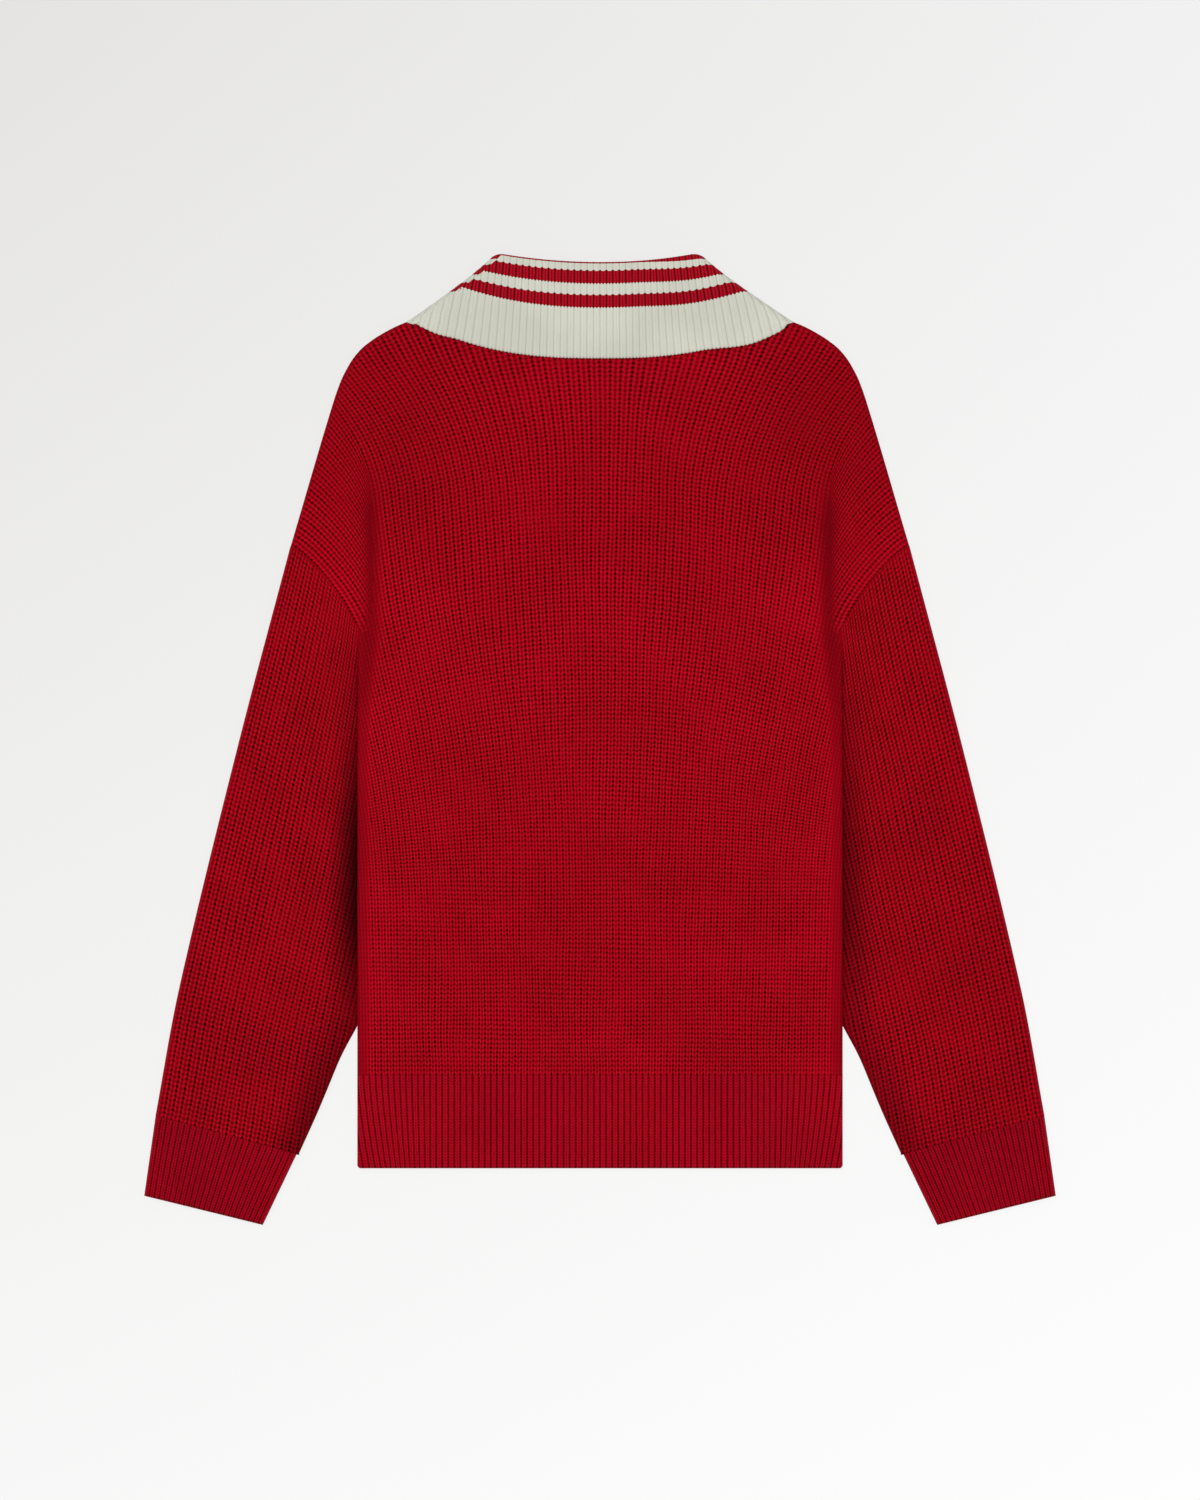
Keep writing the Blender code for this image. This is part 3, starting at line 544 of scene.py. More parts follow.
def beyond(x, y, middle_y):
    """Above 0 outside the neck, the shoulder and the silhouette, and below 0 inside."""
    x = np.abs(x)
    over_neck = y - neck_curve(x, NECK_HALF, middle_y, NECK_SIDE_Y)
    over_shoulder = y - np.interp(x, OUTLINE[:, 0], OUTLINE[:, 1])
    return np.where(x < NECK_HALF, over_neck, over_shoulder)


def edge_distance(x, y, line):
    """Distance from points to a line of many points."""
    best = np.full(x.shape, np.inf)
    for a, b in zip(line[:-1], line[1:]):
        along = b - a
        share = ((x - a[0]) * along[0] + (y - a[1]) * along[1]) / (along @ along)
        share = np.clip(share, 0, 1)
        gap = np.hypot(x - a[0] - share * along[0], y - a[1] - share * along[1])
        best = np.minimum(best, gap)
    return best


def armhole(shares):
    start = np.array([BODY_HALF, UNDERARM_Y])
    end = np.array(SHOULDER[-1][1:])
    reach = ARMHOLE_LEAVE[1]
    arrive = reach * np.array([math.sin(ARMHOLE_LEAN), math.cos(ARMHOLE_LEAN)])
    return hermite(start, np.array(ARMHOLE_LEAVE), end, arrive, np.asarray(shares)[..., None])


ARMHOLE_LINE = armhole(np.linspace(0, 1, 41))
BODY_SIDE = np.array([(BODY_HALF, HEM_BOTTOM), (BODY_HALF, UNDERARM_Y)])


def fold_height(x, y, up):
    """Height of the cloth's face, rounded off at the folds. up is 1 on the back, -1 on the front."""
    x = np.abs(x)
    level = mid_level(x, y)
    to_fold = np.minimum(edge_distance(x, y, BODY_SIDE), edge_distance(x, y, OUTLINE[::8]))
    to_seam = edge_distance(x, y, ARMHOLE_LINE[::4])
    full = (GAP / 2 + WALL) * rounded(to_fold, ROUNDING)
    full -= SEAM_DIP * np.exp(-((to_seam / SEAM_DIP_WIDTH) ** 2))
    return level + up * full, to_fold, to_seam


def fold_and_dip(x, y):
    """How closed the stitches are on the soft fold, and how deep its dip is, from 0 to 1."""
    x = np.abs(x)
    fade = smooth(y, FOLD[0][2], FOLD[2][2]) * (1 - smooth(y, FOLD[3][2], FOLD[4][2]))
    closed = np.exp(-((edge_distance(x, y, FOLD_LINE) / FOLD_WIDTH) ** 2))
    dip = np.exp(-((edge_distance(x - DIP_SHIFT, y, FOLD_LINE) / DIP_WIDTH) ** 2))
    return closed * fade, dip * fade


# Soft creases: x, y of the middle, direction in degrees from +X, length, width, depth
CREASES = [
    (0.2920, -0.0800, 102, 0.140, 0.0140, 0.0011),
    (0.2700, -0.1500, 96, 0.110, 0.0110, 0.0008),
    (0.3080, -0.2050, 108, 0.090, 0.0120, 0.0009),
    (0.2560, 0.0300, 110, 0.080, 0.0100, 0.0007),
    (-0.2860, -0.0560, 80, 0.150, 0.0150, 0.0010),
    (-0.2640, -0.1720, 84, 0.100, 0.0100, 0.0009),
    (-0.3120, -0.1900, 74, 0.100, 0.0130, 0.0008),
    (-0.2540, 0.0460, 68, 0.070, 0.0090, 0.0008),
    (0.1180, -0.1900, 97, 0.120, 0.0160, 0.0006),
    (-0.0840, -0.1300, 86, 0.160, 0.0180, 0.0006),
    (-0.1350, 0.2260, 118, 0.090, 0.0120, 0.0006),
    (0.1420, 0.2380, 60, 0.080, 0.0130, 0.0006),
    (0.0300, 0.0200, 92, 0.110, 0.0170, 0.0004),
    (-0.2010, 0.1480, 107, 0.034, 0.0028, 0.0008),
    (-0.2160, 0.1230, 128, 0.026, 0.0030, 0.0006),
    (0.2040, 0.1390, 70, 0.030, 0.0030, 0.0007),
]
CREASE_BEND = 0.15  # how much each bends to one side, as a share of its length


def crease_dip(x, y):
    dip = np.zeros(np.broadcast_shapes(np.shape(x), np.shape(y)))
    for middle_x, middle_y, degrees, length, width, depth in CREASES:
        turn = math.radians(degrees)
        along = (x - middle_x) * math.cos(turn) + (y - middle_y) * math.sin(turn)
        across = (y - middle_y) * math.cos(turn) - (x - middle_x) * math.sin(turn)
        bend = across - CREASE_BEND * along**2 / length
        dip += depth * np.exp(-((bend / width) ** 2) - (along / (0.5 * length)) ** 2)
    return dip


# ---- body panels ---------------------------------------------------------------------------


def slackness(x, y):
    """How far the stitches stand open, from 0 to 1: less over the shoulders and in the yokes."""
    aside = np.abs(x)
    shoulders = CLOSED_SHOULDERS * smooth(y, *CLOSED_SHOULDERS_Y)
    yokes = CLOSED_YOKES * smooth(aside, *CLOSED_YOKES_X) * smooth(y, *CLOSED_YOKES_Y)
    sides = CLOSED_SIDES * smooth(aside, *CLOSED_SIDES_X) * (y < UNDERARM_Y)
    return 1 - shoulders - yokes - sides


def body_shade(x, y, dip):
    """How light the cloth is, from 0 to 1: painted shade darkens it in the dip, along the sides and high
    up.
    """
    aside = np.abs(x)
    beside = smooth(aside, *SIDE_SHADE_X) * (y < UNDERARM_Y)
    shade = (1 - np.where(x < 0, DIP_SHADE[-1], DIP_SHADE[1]) * dip) * (1 - SIDE_SHADE * beside)
    shoulders = smooth(y, *SHOULDER_SHADE_Y) * smooth(aside, *SHOULDER_SHADE_X)
    return shade * (1 - SHOULDER_SHADE * shoulders) * (1 - UPPER_SHADE * smooth(y, *UPPER_SHADE_Y))


def cloth_face(x, y, u, v, up, seed):
    """A body panel's face over these places: height, shade and openness of its stitches."""
    z, to_fold, to_seam = fold_height(x, y, up)
    closed, dip = fold_and_dip(x, y)
    calm = smooth(to_fold, *FOLD_CALM) * smooth(to_seam, *SEAM_CALM) * (1 - closed)
    calm = calm * slackness(x, y)
    relief = STITCH_DEPTH * stitch_relief(u, v) * calm * uneven(x.shape, seed)
    z = z - up * (relief + DIP_DEPTH * dip)
    if up > 0:
        z = z - crease_dip(x, y) * smooth(to_fold, *CREASE_CLEAR)
    return z, body_shade(x, y, dip), calm


def take_rows(values, first, last):
    """Outside its own first and last row, every column of points stays where it is."""
    rows = np.clip(np.arange(values.shape[0])[:, None], first, last)
    return np.take_along_axis(values, rows, axis=0)


def take_columns(values, stopped, start):
    """Outward from column start, the points of a row stay at the first stopped one."""
    columns = np.arange(stopped.shape[1])
    right = np.where(stopped & (columns >= start), columns, stopped.shape[1] - 1).min(axis=1)
    left = np.where(stopped & (columns <= start), columns, 0).max(axis=1)
    chosen = np.clip(columns[None, :], left[:, None], right[:, None])
    return np.take_along_axis(values, chosen, axis=1)


def stopped_columns(parts, stopped, start):
    return [take_columns(part, stopped, start) for part in parts]


def middle_grid(neck_middle_y, up, seed, side):
    """The middle of a panel, wale by wale. side picks one side of the zip's slit, or 0 for both."""
    columns = np.arange(-4 * SIDE_WALE, 4 * SIDE_WALE + 1) / 4
    if side:
        columns = columns[columns * side >= 1]
    courses = int((NECK_SIDE_Y + ARCH - BODY_BOTTOM) / COURSE) + 2
    v, u = np.meshgrid(stitch_rows(courses), columns, indexing="ij")
    v = np.maximum(v + np.where(v > 0, lag(u), 0), 0)
    flat_y = BODY_BOTTOM + v * COURSE
    x = u * wale_width(flat_y)
    for _ in range(3):  # x and y depend on each other, and settle in a few steps
        y = flat_y - ARCH * smooth(flat_y, *ARCH_Y) * (x / ARCH_X) ** 2
        limit = side_limit(y)
        x = np.clip(u * wale_width(y), -limit, limit)
    x, y, v, last = end_at_outline(x, y, v, neck_middle_y)
    inner = (1 - smooth(np.abs(x), *WANDER_X)) * smooth(y, *WANDER_Y)
    across, along = wander(x, y)
    x = x + across * inner
    y = y + along * inner * (1 - smooth(y, *WANDER_END_Y))
    width = wale_width(y)
    stopped = np.abs(u * width) > side_limit(y)
    stitch_u = (x - across * inner) / width
    z, shade, calm = cloth_face(x, y, stitch_u, v, up, seed)
    start = 0 if side > 0 else len(columns) - 1 if side < 0 else len(columns) // 2
    parts = (x, y, z, stitch_u, v, shade, calm)
    parts = stopped_columns([take_rows(part, 0, last) for part in parts], stopped, start)
    return Grid(*parts, flip=up < 0).sewn_under(False, (0, -SEAM_REACH, -up * SEAM_SINK))


def end_at_outline(x, y, v, neck_middle_y):
    """Moves the first point of each wale outside the outline onto it, and gives its row."""
    outside = beyond(x, y, neck_middle_y)
    columns = np.arange(x.shape[1])
    leaves = (outside > 0).any(axis=0)
    first = np.where(leaves, np.argmax(outside > 0, axis=0), x.shape[0] - 1)
    before = np.maximum(first - 1, 0)
    low = outside[before, columns]
    high = outside[first, columns]
    share = np.where(leaves, np.clip(-low / np.maximum(high - low, 1e-9), 0, 1), 1)
    result = []
    for values in (x, y, v):
        ended = values.copy()
        ended[first, columns] = mix(values[before, columns], values[first, columns], share)
        result.append(ended)
    return *result, first


def climbing_wale():
    """Points on the split wale, up from the head of the valley to the silhouette."""
    heights = np.linspace(VALLEY_TOP, CLIMB_END_Y, 400)
    climb = np.column_stack([SPLIT_WALE * wale_width(heights), heights])
    outside = beyond(climb[:, 0], climb[:, 1], NECK_BACK_Y)
    first = int(np.argmax(outside > 0))
    share = -outside[first - 1] / (outside[first] - outside[first - 1])
    return np.vstack([climb[:first], mix(climb[first - 1], climb[first], share)])


def yoke_grid(up, seed):
    """The knit between the valley and the silhouette, on the +X side."""
    climb = climbing_wale()
    top = climb[-1]
    silhouette = OUTLINE[(OUTLINE[:, 1] < top[1]) & (OUTLINE[:, 0] > NECK_HALF)]
    silhouette = np.vstack([top, silhouette])
    counts = course_count(climb[:, 0], climb[:, 1])
    shares = by_length(climb)[:, 0]
    rows = np.arange(math.floor(2 * (counts[0] - YOKE_VALLEY_COURSES)) - 1, 2 * counts[-1] + 3) / 2
    end_wale = SPLIT_WALE + YOKE_WALES
    columns = np.arange(math.ceil(4 * SPLIT_WALE), 4 * end_wale) / 4
    columns = np.concatenate([[SPLIT_WALE - YOKE_TUCK_WALES, SPLIT_WALE], columns, [end_wale]])
    v, u = np.meshgrid(rows, columns, indexing="ij")
    v = v + lag(u)
    q = np.maximum((u - SPLIT_WALE) / YOKE_WALES, 0)
    low = counts[0] - YOKE_VALLEY_COURSES * q
    high = counts[-1] - YOKE_SIDE_COURSES * q
    even = np.clip((v - low) / (high - low), 0, 1)
    first = (v <= low).sum(axis=0) - 1
    last = (v < high).sum(axis=0)
    t = np.interp(even * (counts[-1] - counts[0]) + counts[0], counts, shares)
    begins = v <= low
    v = np.clip(v, low, high)
    start = evenly(VALLEY_LINE[::-1], q)
    end = evenly(silhouette, q)
    upper = evenly(climb, t)
    lower = evenly(ARMHOLE_LINE, t)
    q = q[..., None]
    t = t[..., None]
    ends = mix(mix(VALLEY_LINE[-1], VALLEY_LINE[0], q), mix(top, ARMHOLE_LINE[-1], q), t)
    place = mix(start, end, t) + mix(upper, lower, q) - ends
    x, y = place[..., 0], place[..., 1]
    tucked = begins | (u < SPLIT_WALE)
    x = np.where(tucked, x - YOKE_TUCK_WALES * wale_width(y), x)
    z, shade, calm = cloth_face(x, y, u, v, up, seed)
    z = z - up * YOKE_TUCK * np.where(tucked, YOKE_TUCK_UNDER, 1 - smooth(u - SPLIT_WALE, 0, 1))
    parts = [take_rows(part, first, last) for part in (x, y, z, u, v, shade, calm)]
    return Grid(*parts, flip=up < 0)


def panel(name, node, neck_middle_y, up, seed, material):
    sides = (0,) if up > 0 else (-1, 1)
    grids = [middle_grid(neck_middle_y, up, seed + side, side) for side in sides]
    if up < 0:
        grids.append(below_slit(seed))
    yoke = yoke_grid(up, seed + 7)
    grids += [yoke, yoke.mirrored()]
    return finish_piece(mesh_from(name, grids), material, [node])


def below_slit(seed):
    """The two wales that run up to the bottom of the zip's slit."""
    columns = np.arange(-4, 5) / 4
    courses = (ZIP_BOTTOM - BODY_BOTTOM) / COURSE
    v, u = np.meshgrid(np.linspace(0, courses, int(2 * courses)), columns, indexing="ij")
    y = BODY_BOTTOM + v * COURSE
    x = u * wale_width(y)
    across, along = wander(x, y)
    ease = smooth(y, *WANDER_Y)
    x = x + across * ease
    y = y + along * ease
    z, shade, calm = cloth_face(x, y, u, v, -1, seed)
    return Grid(x, y, z, u, v, shade, calm, flip=True).sewn_under(False, (0, -SEAM_REACH, SEAM_SINK))


# ---- ribbed bands --------------------------------------------------------------------------


def band_profile(length, courses):
    """Up a band, in columns: distance from its open edge, share of thickness, course."""
    rows = [(length * v / courses, 1.0, v) for v in np.arange(1, 2 * courses + 1) / 2]
    return columns_of(BAND_EDGE + rows)


def band_relief(u, v, share, calm, seed):
    """Depth of a band's ribs, and how open they are, where calm is 0 at a fold and 1 inward."""
    open_ = calm * np.where(share < 1, EDGE_RELIEF * share, 1)
    return RIB_DEPTH * rib_relief(u, v) * open_ * uneven(u.shape, seed) * share, open_


def hem_grid(up, seed):
    """A lower rib band over the whole width of one panel. Low down, its ribs sway inward."""
    length = BODY_BOTTOM - GAP - HEM_BOTTOM
    away, share, v = band_profile(length, HEM_COURSES)
    ribs = HEM_RIBS // 2 + HEM_TURNED_RIBS
    u = np.arange(-4 * ribs, 4 * ribs + 1)[None, :] / 4 + 0 * away
    straight = u * 2 * BODY_HALF / HEM_RIBS
    sway = HEM_SWAY * smooth(np.abs(straight), HEM_SWAY_FROM, BODY_HALF)
    sway = sway * np.maximum(1 - away / length, 0) ** HEM_SWAY_BEND
    x = straight - np.sign(u) * sway
    stopped = np.abs(x) >= BODY_HALF
    x = np.clip(x, -BODY_HALF, BODY_HALF)
    inset = BODY_HALF - np.abs(x)
    lift = HEM_CORNER * (1 - rounded(inset, HEM_CORNER))
    y = HEM_BOTTOM + np.maximum(away, lift)
    fold = rounded(inset, ROUNDING)
    thin = mix(EDGE, WALL, rounded(away, ROUNDING))
    full = GAP / 2 + thin * fold * share
    relief, open_ = band_relief(u, v, share, smooth(inset, *FOLD_CALM), seed)
    z = PLY / 2 + up * (full * fold - relief)
    parts = (x, y, z, u, v + 0 * u, BAND_SHADE + 0 * x, open_)
    middle = u.shape[1] // 2
    return Grid(*stopped_columns(parts, stopped, middle), flip=up < 0)


def sleeve_across(along, distance):
    """Places on the sleeve this far in from its outer fold, and their distances to both folds."""
    outer = sleeve_point(along, np.ones_like(along))
    inner = sleeve_point(along, np.zeros_like(along))
    width = np.linalg.norm(outer - inner, axis=-1)
    inward = np.minimum(distance, width)
    return sleeve_point(along, 1 - inward / width), inward, width - inward


def sleeve_inner(shares):
    straight = UNDERARM_Y - SPLIT_Y
    rows = by_length(SLEEVE_INNER)
    bent = float(np.linalg.norm(np.diff(np.array(SLEEVE_INNER), axis=0), axis=1).sum())
    split = bent / (bent + straight)
    low = through(rows, np.minimum(shares / split, 1))
    high = mix(np.array(SLEEVE_INNER[-1]), armhole(0.0), ((shares - split) / (1 - split))[..., None])
    return np.where((shares < split)[..., None], low, high)


def sleeve_point(along, across):
    """A place on the sleeve: along from cuff to armhole, across from inner to outer fold."""
    inner = sleeve_inner(along)
    outer = through(by_length(SLEEVE_OUTER), along)
    across = np.asarray(across)[..., None]
    along = np.asarray(along)[..., None]
    bottom = mix(np.array(SLEEVE_INNER[0]), np.array(SLEEVE_OUTER[0]), across)
    sides = mix(inner, outer, across)
    ends = mix(bottom, armhole(across[..., 0]), along)
    straight = mix(bottom, mix(armhole(0.0), armhole(1.0), across), along)
    return sides + ends - straight


def cuff_point(along, across):
    across = np.asarray(across)[..., None]
    along = np.asarray(along)[..., None]
    end = mix(np.array(CUFF_END[0]), np.array(CUFF_END[1]), across)
    top = mix(np.array(CUFF_TOP[0]), np.array(CUFF_TOP[1]), across)
    return mix(end, top, along)


def sleeve_grid(up, seed, sign):
    """One face of the sleeve. sign is 1 on the right and -1 on the left, for its creases."""
    v, u = np.meshgrid(stitch_rows(SLEEVE_COURSES), np.arange(4 * SLEEVE_WALES + 1) / 4, indexing="ij")
    v = v + np.where((v > 0) & (v < SLEEVE_COURSES), lag(u), 0)
    along = v / SLEEVE_COURSES
    place, from_outer, to_inner = sleeve_across(along, u * SLEEVE_WALE)
    stopped = to_inner <= 0
    x, y = place[..., 0], place[..., 1]
    at_fold = np.minimum(from_outer, to_inner)
    beside_body = smooth(y, SPLIT_Y - TUCK_FADE, SPLIT_Y)
    tuck = beside_body * (1 - smooth(to_inner, 0, TUCK_WIDTH))
    top = PLY - TUCK_DROP * tuck * smooth(y, UNDERARM_Y, UNDERARM_Y - TUCK_EASE)
    to_seam = edge_distance(x, y, ARMHOLE_LINE[::4])
    calm = smooth(at_fold, *FOLD_CALM) * smooth(to_seam, *SEAM_CALM)
    inner = smooth(at_fold, *SLEEVE_EVEN) * smooth(v, 0, SLEEVE_EVEN_COURSES)
    inner = inner * (1 - smooth(v, SLEEVE_COURSES - SLEEVE_EVEN_COURSES, SLEEVE_COURSES))
    across, upward = wander(x * SLEEVE_WANDER[0] + SLEEVE_WANDER[1], y)
    x = x + across * inner
    y = y + upward * inner
    x = x - TUCK_UNDER * tuck
    u = from_outer / SLEEVE_WALE
    z = top / 2 + up * top / 2 * rounded(at_fold, PLY / 2)
    relief = STITCH_DEPTH * stitch_relief(u, v) * calm * (1 - TUCK_FLATTENS * tuck)
    z = z - up * relief * uneven(x.shape, seed)
    shade = SLEEVE_SHADE + 0 * x
    if up > 0:
        z = z - crease_dip(sign * x, y) * smooth(at_fold, *CREASE_CLEAR)
        eased = 1 - CREVICE_EASE * smooth(y, CREVICE_RISE, CREVICE_END)
        deep = smooth(y, CREVICE_TOP, CREVICE_DEEP) * eased
        near = 1 - smooth(to_inner, 0.0, CREVICE_WIDTH)
        shade = shade * (1 - CREVICE_SHADE[sign] * deep * near)
    calm = calm * (1 - TUCK_CLOSES * tuck)
    grid = Grid(*stopped_columns((x, y, z, u, v, shade, calm), stopped, 0), flip=up > 0)
    grid.sewn_under(False, (0, -SEAM_REACH, -up * SEAM_SINK))
    out_x, out_y = ARMHOLE_OUT
    return grid.sewn_under(True, (out_x * SEAM_REACH, out_y * SEAM_REACH, -up * SEAM_SINK))


def cuff_grid(up, seed):
    """One face of the cuff on the +X side."""
    length = math.dist(CUFF_END[0], CUFF_TOP[0])
    away, share, v = band_profile(length, CUFF_COURSES)
    along = away / length + np.zeros((1, 4 * CUFF_RIBS + 1))
    across = np.arange(4 * CUFF_RIBS + 1)[None, :] / 4 / CUFF_RIBS + 0 * along
    place = cuff_point(along, across)
    width = np.linalg.norm(cuff_point(along, 0 * across + 1) - cuff_point(along, 0 * across), axis=-1)
    at_fold = np.minimum(across, 1 - across) * width
    fold = rounded(at_fold, ROUNDING)
    thin = mix(EDGE, WALL, rounded(away, ROUNDING))
    u = across * CUFF_RIBS
    relief, open_ = band_relief(u, v, share, smooth(at_fold, *CUFF_CALM), seed)
    z = PLY / 2 + up * ((GAP / 2 + thin * share) * fold - relief)
    shade = BAND_SHADE * SLEEVE_SHADE
    return Grid(place[..., 0], place[..., 1], z, u, v + 0 * u, shade, open_, flip=up < 0)


# ---- collar --------------------------------------------------------------------------------


def collar_line(place):
    """Side x, side y, and middle y on the back and on the front, for each place in the band."""
    crest_x = FALL_SIDE[0][1] - FALL_OUT
    low = np.minimum(place, 0) + 1
    high = np.maximum(place, 0)
    fall = through(FALL_SIDE, high)
    standing = place < 0
    side_x = np.where(standing, mix(NECK_HALF - STAND_OUT, crest_x, low), fall[..., 0] - FALL_OUT)
    side_y = np.where(standing, mix(NECK_SIDE_Y + NECK_GAP, CREST_SIDE_Y, low), fall[..., 1])
    stand_back = mix(NECK_BACK_Y + NECK_GAP, CREST_BACK_Y, low)
    stand_front = mix(NECK_FRONT_Y + NECK_GAP, CREST_FRONT_Y, low)
    back_y = np.where(standing, stand_back, mix(CREST_BACK_Y, EDGE_BACK_Y, high))
    front_y = np.where(standing, stand_front, mix(CREST_FRONT_Y, EDGE_FRONT_Y, high))
    return side_x, side_y, back_y, front_y


def collar_y(x, place, at_back):
    side_x, side_y, back_y, front_y = collar_line(place)
    half = side_x + STAND_OUT * np.maximum(-place, 0)
    power = mix(2, EDGE_POWER, np.maximum(place, 0)) if at_back else 2
    y = neck_curve(x, half, back_y if at_back else front_y, side_y, power)
    if at_back:
        for side, begins, full, eases, ends, drop in EDGE_SAGS:
            sag = smooth(side * x, begins, full) * (1 - smooth(side * x, eases, ends))
            y = y - drop * sag * np.maximum(place, 0) ** 2
    return y


def collar_section():
    """Once round the folded band: place, height, relief and length from the crest in courses."""
    rows = []
    stand = int(COLLAR_COURSES * STAND_LENGTH / FALL_LENGTH)
    for step in range(stand):
        share = step / stand
        rows.append((-1 + 0.95 * share, STAND_IN, min(1.0, 3 * share), -(1 - share) * stand))
    radius = (FALL_OUT - STAND_IN) / 2
    middle = (FALL_OUT + STAND_IN) / 2
    for degrees in (15, 40, 65, 90, 115, 140, 165):
        turn = math.radians(degrees)
        drop = radius * (1 - math.sin(turn))
        length = STAND_LENGTH if degrees < 90 else FALL_LENGTH
        place = math.copysign(drop / length, degrees - 90)
        rows.append((place, middle - radius * math.cos(turn), 0.5, place * COLLAR_COURSES))
    for step in np.arange(3, 2 * COLLAR_COURSES - 1):
        share = step / 2 / COLLAR_COURSES
        rows.append((share, FALL_OUT, 1.0, step / 2))
    last = COLLAR_COURSES
    rows += [  # round the free edge, up inside the fall and down outside the stand
        (0.988, FALL_OUT - 0.0004, 0.8, last - 0.3),
        (0.997, FALL_IN + 0.62 * WALL, 0.4, last),
        (1.0, FALL_IN + 0.35 * WALL, 0.1, last + 0.3),
        (0.995, FALL_IN, 0.0, last + 0.6),
        (0.70, FALL_IN, 0.0, last + 6),
        (0.35, FALL_IN, 0.0, last + 12),
        (0.07, FALL_IN, 0.0, last + 20),
        (0.04, middle, 0.0, last + 21),
        (-0.5, STAND_OUT, 0.0, last + 30),
        (-1.0, STAND_OUT, 0.0, last + 40),
    ]
    return rows + rows[:1]


def collar_rib_x(u, place):
    """Distance of a rib from the middle of the back: ribs fan out down the fall."""
    fall = np.maximum(place, 0)
    outer = np.minimum(np.abs(u) / COLLAR_FAN_RIB, COLLAR_FAN_MOST)
    fan = COLLAR_FAN + COLLAR_SIDE_FAN * outer**2
    return COLLAR_RIB * u * (1 + fan * fall)


def collar_side_rib(side_x, place):
    """The rib that reaches the side fold at each place, and the width of a rib there."""
    ribs = np.linspace(0, COLLAR_RIBS + 1, 200)
    reach = collar_rib_x(ribs[None, :], place)
    side_u = np.array([[np.interp(x, line, ribs)] for x, line in zip(side_x[:, 0], reach)])
    width = collar_rib_x(side_u + 0.5, place) - collar_rib_x(side_u - 0.5, place)
    return side_u, width


def collar_grids():
    """The back of the folded band, then its side fold and its front for the right and the left."""
    section = collar_section()
    place, height, ribbed, v = columns_of(section)
    side_x = collar_line(place)[0]
    side_u, width = collar_side_rib(side_x, place)
    outward = np.where(height > (FALL_IN + STAND_OUT) / 2, 1, -1)

    def relief(u, random=1.0):
        return outward * COLLAR_DEPTH * rib_relief(u, v) * ribbed * random

    def pulled_in(x):
        return x - RIGHT_CREST_IN * smooth(x, *RIGHT_CREST_X) * (1 - np.abs(place))

    u = np.arange(-4 * COLLAR_RIBS, 4 * COLLAR_RIBS + 1)[None, :] / 4 + 0 * place
    stopped = np.abs(u) >= side_u
    u = np.clip(u, -side_u, side_u)
    x = np.where(stopped, np.sign(u) * side_x, np.clip(collar_rib_x(u, place), -side_x, side_x))
    clear = smooth(side_x - np.abs(x), 0, COLLAR_EVEN)
    random = mix(1, uneven(x.shape, 81), clear)
    z = NECK_LEVEL + height - relief(u, random)
    scallop = SCALLOP_EDGE * np.abs(np.sin(2 * math.pi * u)) * smooth(place, SCALLOP_FROM, 1.0)
    y = collar_y(x, place, True) - scallop * clear
    parts = (pulled_in(x), y, z, u, v + 0 * u)
    grids = [Grid(*stopped_columns(parts, stopped, 4 * COLLAR_RIBS), flip=True)]
    for side in (1, -1):
        share = (1 - np.arange(COLLAR_TURN + 1) / COLLAR_TURN)[None, :]
        angle = math.pi * (share - 0.5)
        u = side_u + height * (math.pi / 2 - angle) / width
        seam_x = side_x + STAND_OUT * np.maximum(-place, 0) * np.cos(angle)
        y = mix(collar_y(seam_x, place, False), collar_y(seam_x, place, True), share)
        radius = height - relief(u)
        x = side * (side_x + radius * np.cos(angle))
        z = NECK_LEVEL + radius * np.sin(angle)
        grids.append(Grid(pulled_in(x), y, z, u, v + 0 * u, flip=side > 0))
        end = mix(COLLAR_END_TOP, COLLAR_END_EDGE, np.maximum(place, 0))
        steps = np.arange(4 * COLLAR_FRONT_RIBS)[None, :] / 4
        away = np.maximum(side_x - steps * width, end)
        u = side_u + height * math.pi / width + steps
        z = NECK_LEVEL - height + relief(u) * smooth(away - end, 0, COLLAR_END_CALM)
        stopped = away <= end
        parts = (pulled_in(side * away), collar_y(away, place, False), z, u, v + 0 * u)
        grids.append(Grid(*stopped_columns(parts, stopped, 0), flip=side > 0))
    return grids, len(section) - 1


def make_collar(material):
    grids, around = collar_grids()
    starts = first_points(grids)
    caps = []
    for index in (2, 4):  # the last columns of the front's grids, at its open ends
        columns = grids[index].shade.shape[1]
        ring = [int(starts[index]) + row * columns + columns - 1 for row in range(around)]
        caps.append(ring[::-1] if index == 2 else ring)
    collar = mesh_from("collar_rib", grids, caps)
    finish_piece(collar, material, ["collar"])
    return collar


# ---- materials -----------------------------------------------------------------------------


class Signal:
    """A value that differs over a surface, with plain arithmetic on it."""

    def __init__(self, shader, socket):
        self.shader = shader
        self.socket = socket

    def __add__(self, other):
        return self.shader.math("ADD", self, other)

    def __sub__(self, other):
        return self.shader.math("SUBTRACT", self, other)

    def __rsub__(self, other):
        return self.shader.math("SUBTRACT", other, self)

    def __mul__(self, other):
        return self.shader.math("MULTIPLY", self, other)

    __rmul__ = __mul__


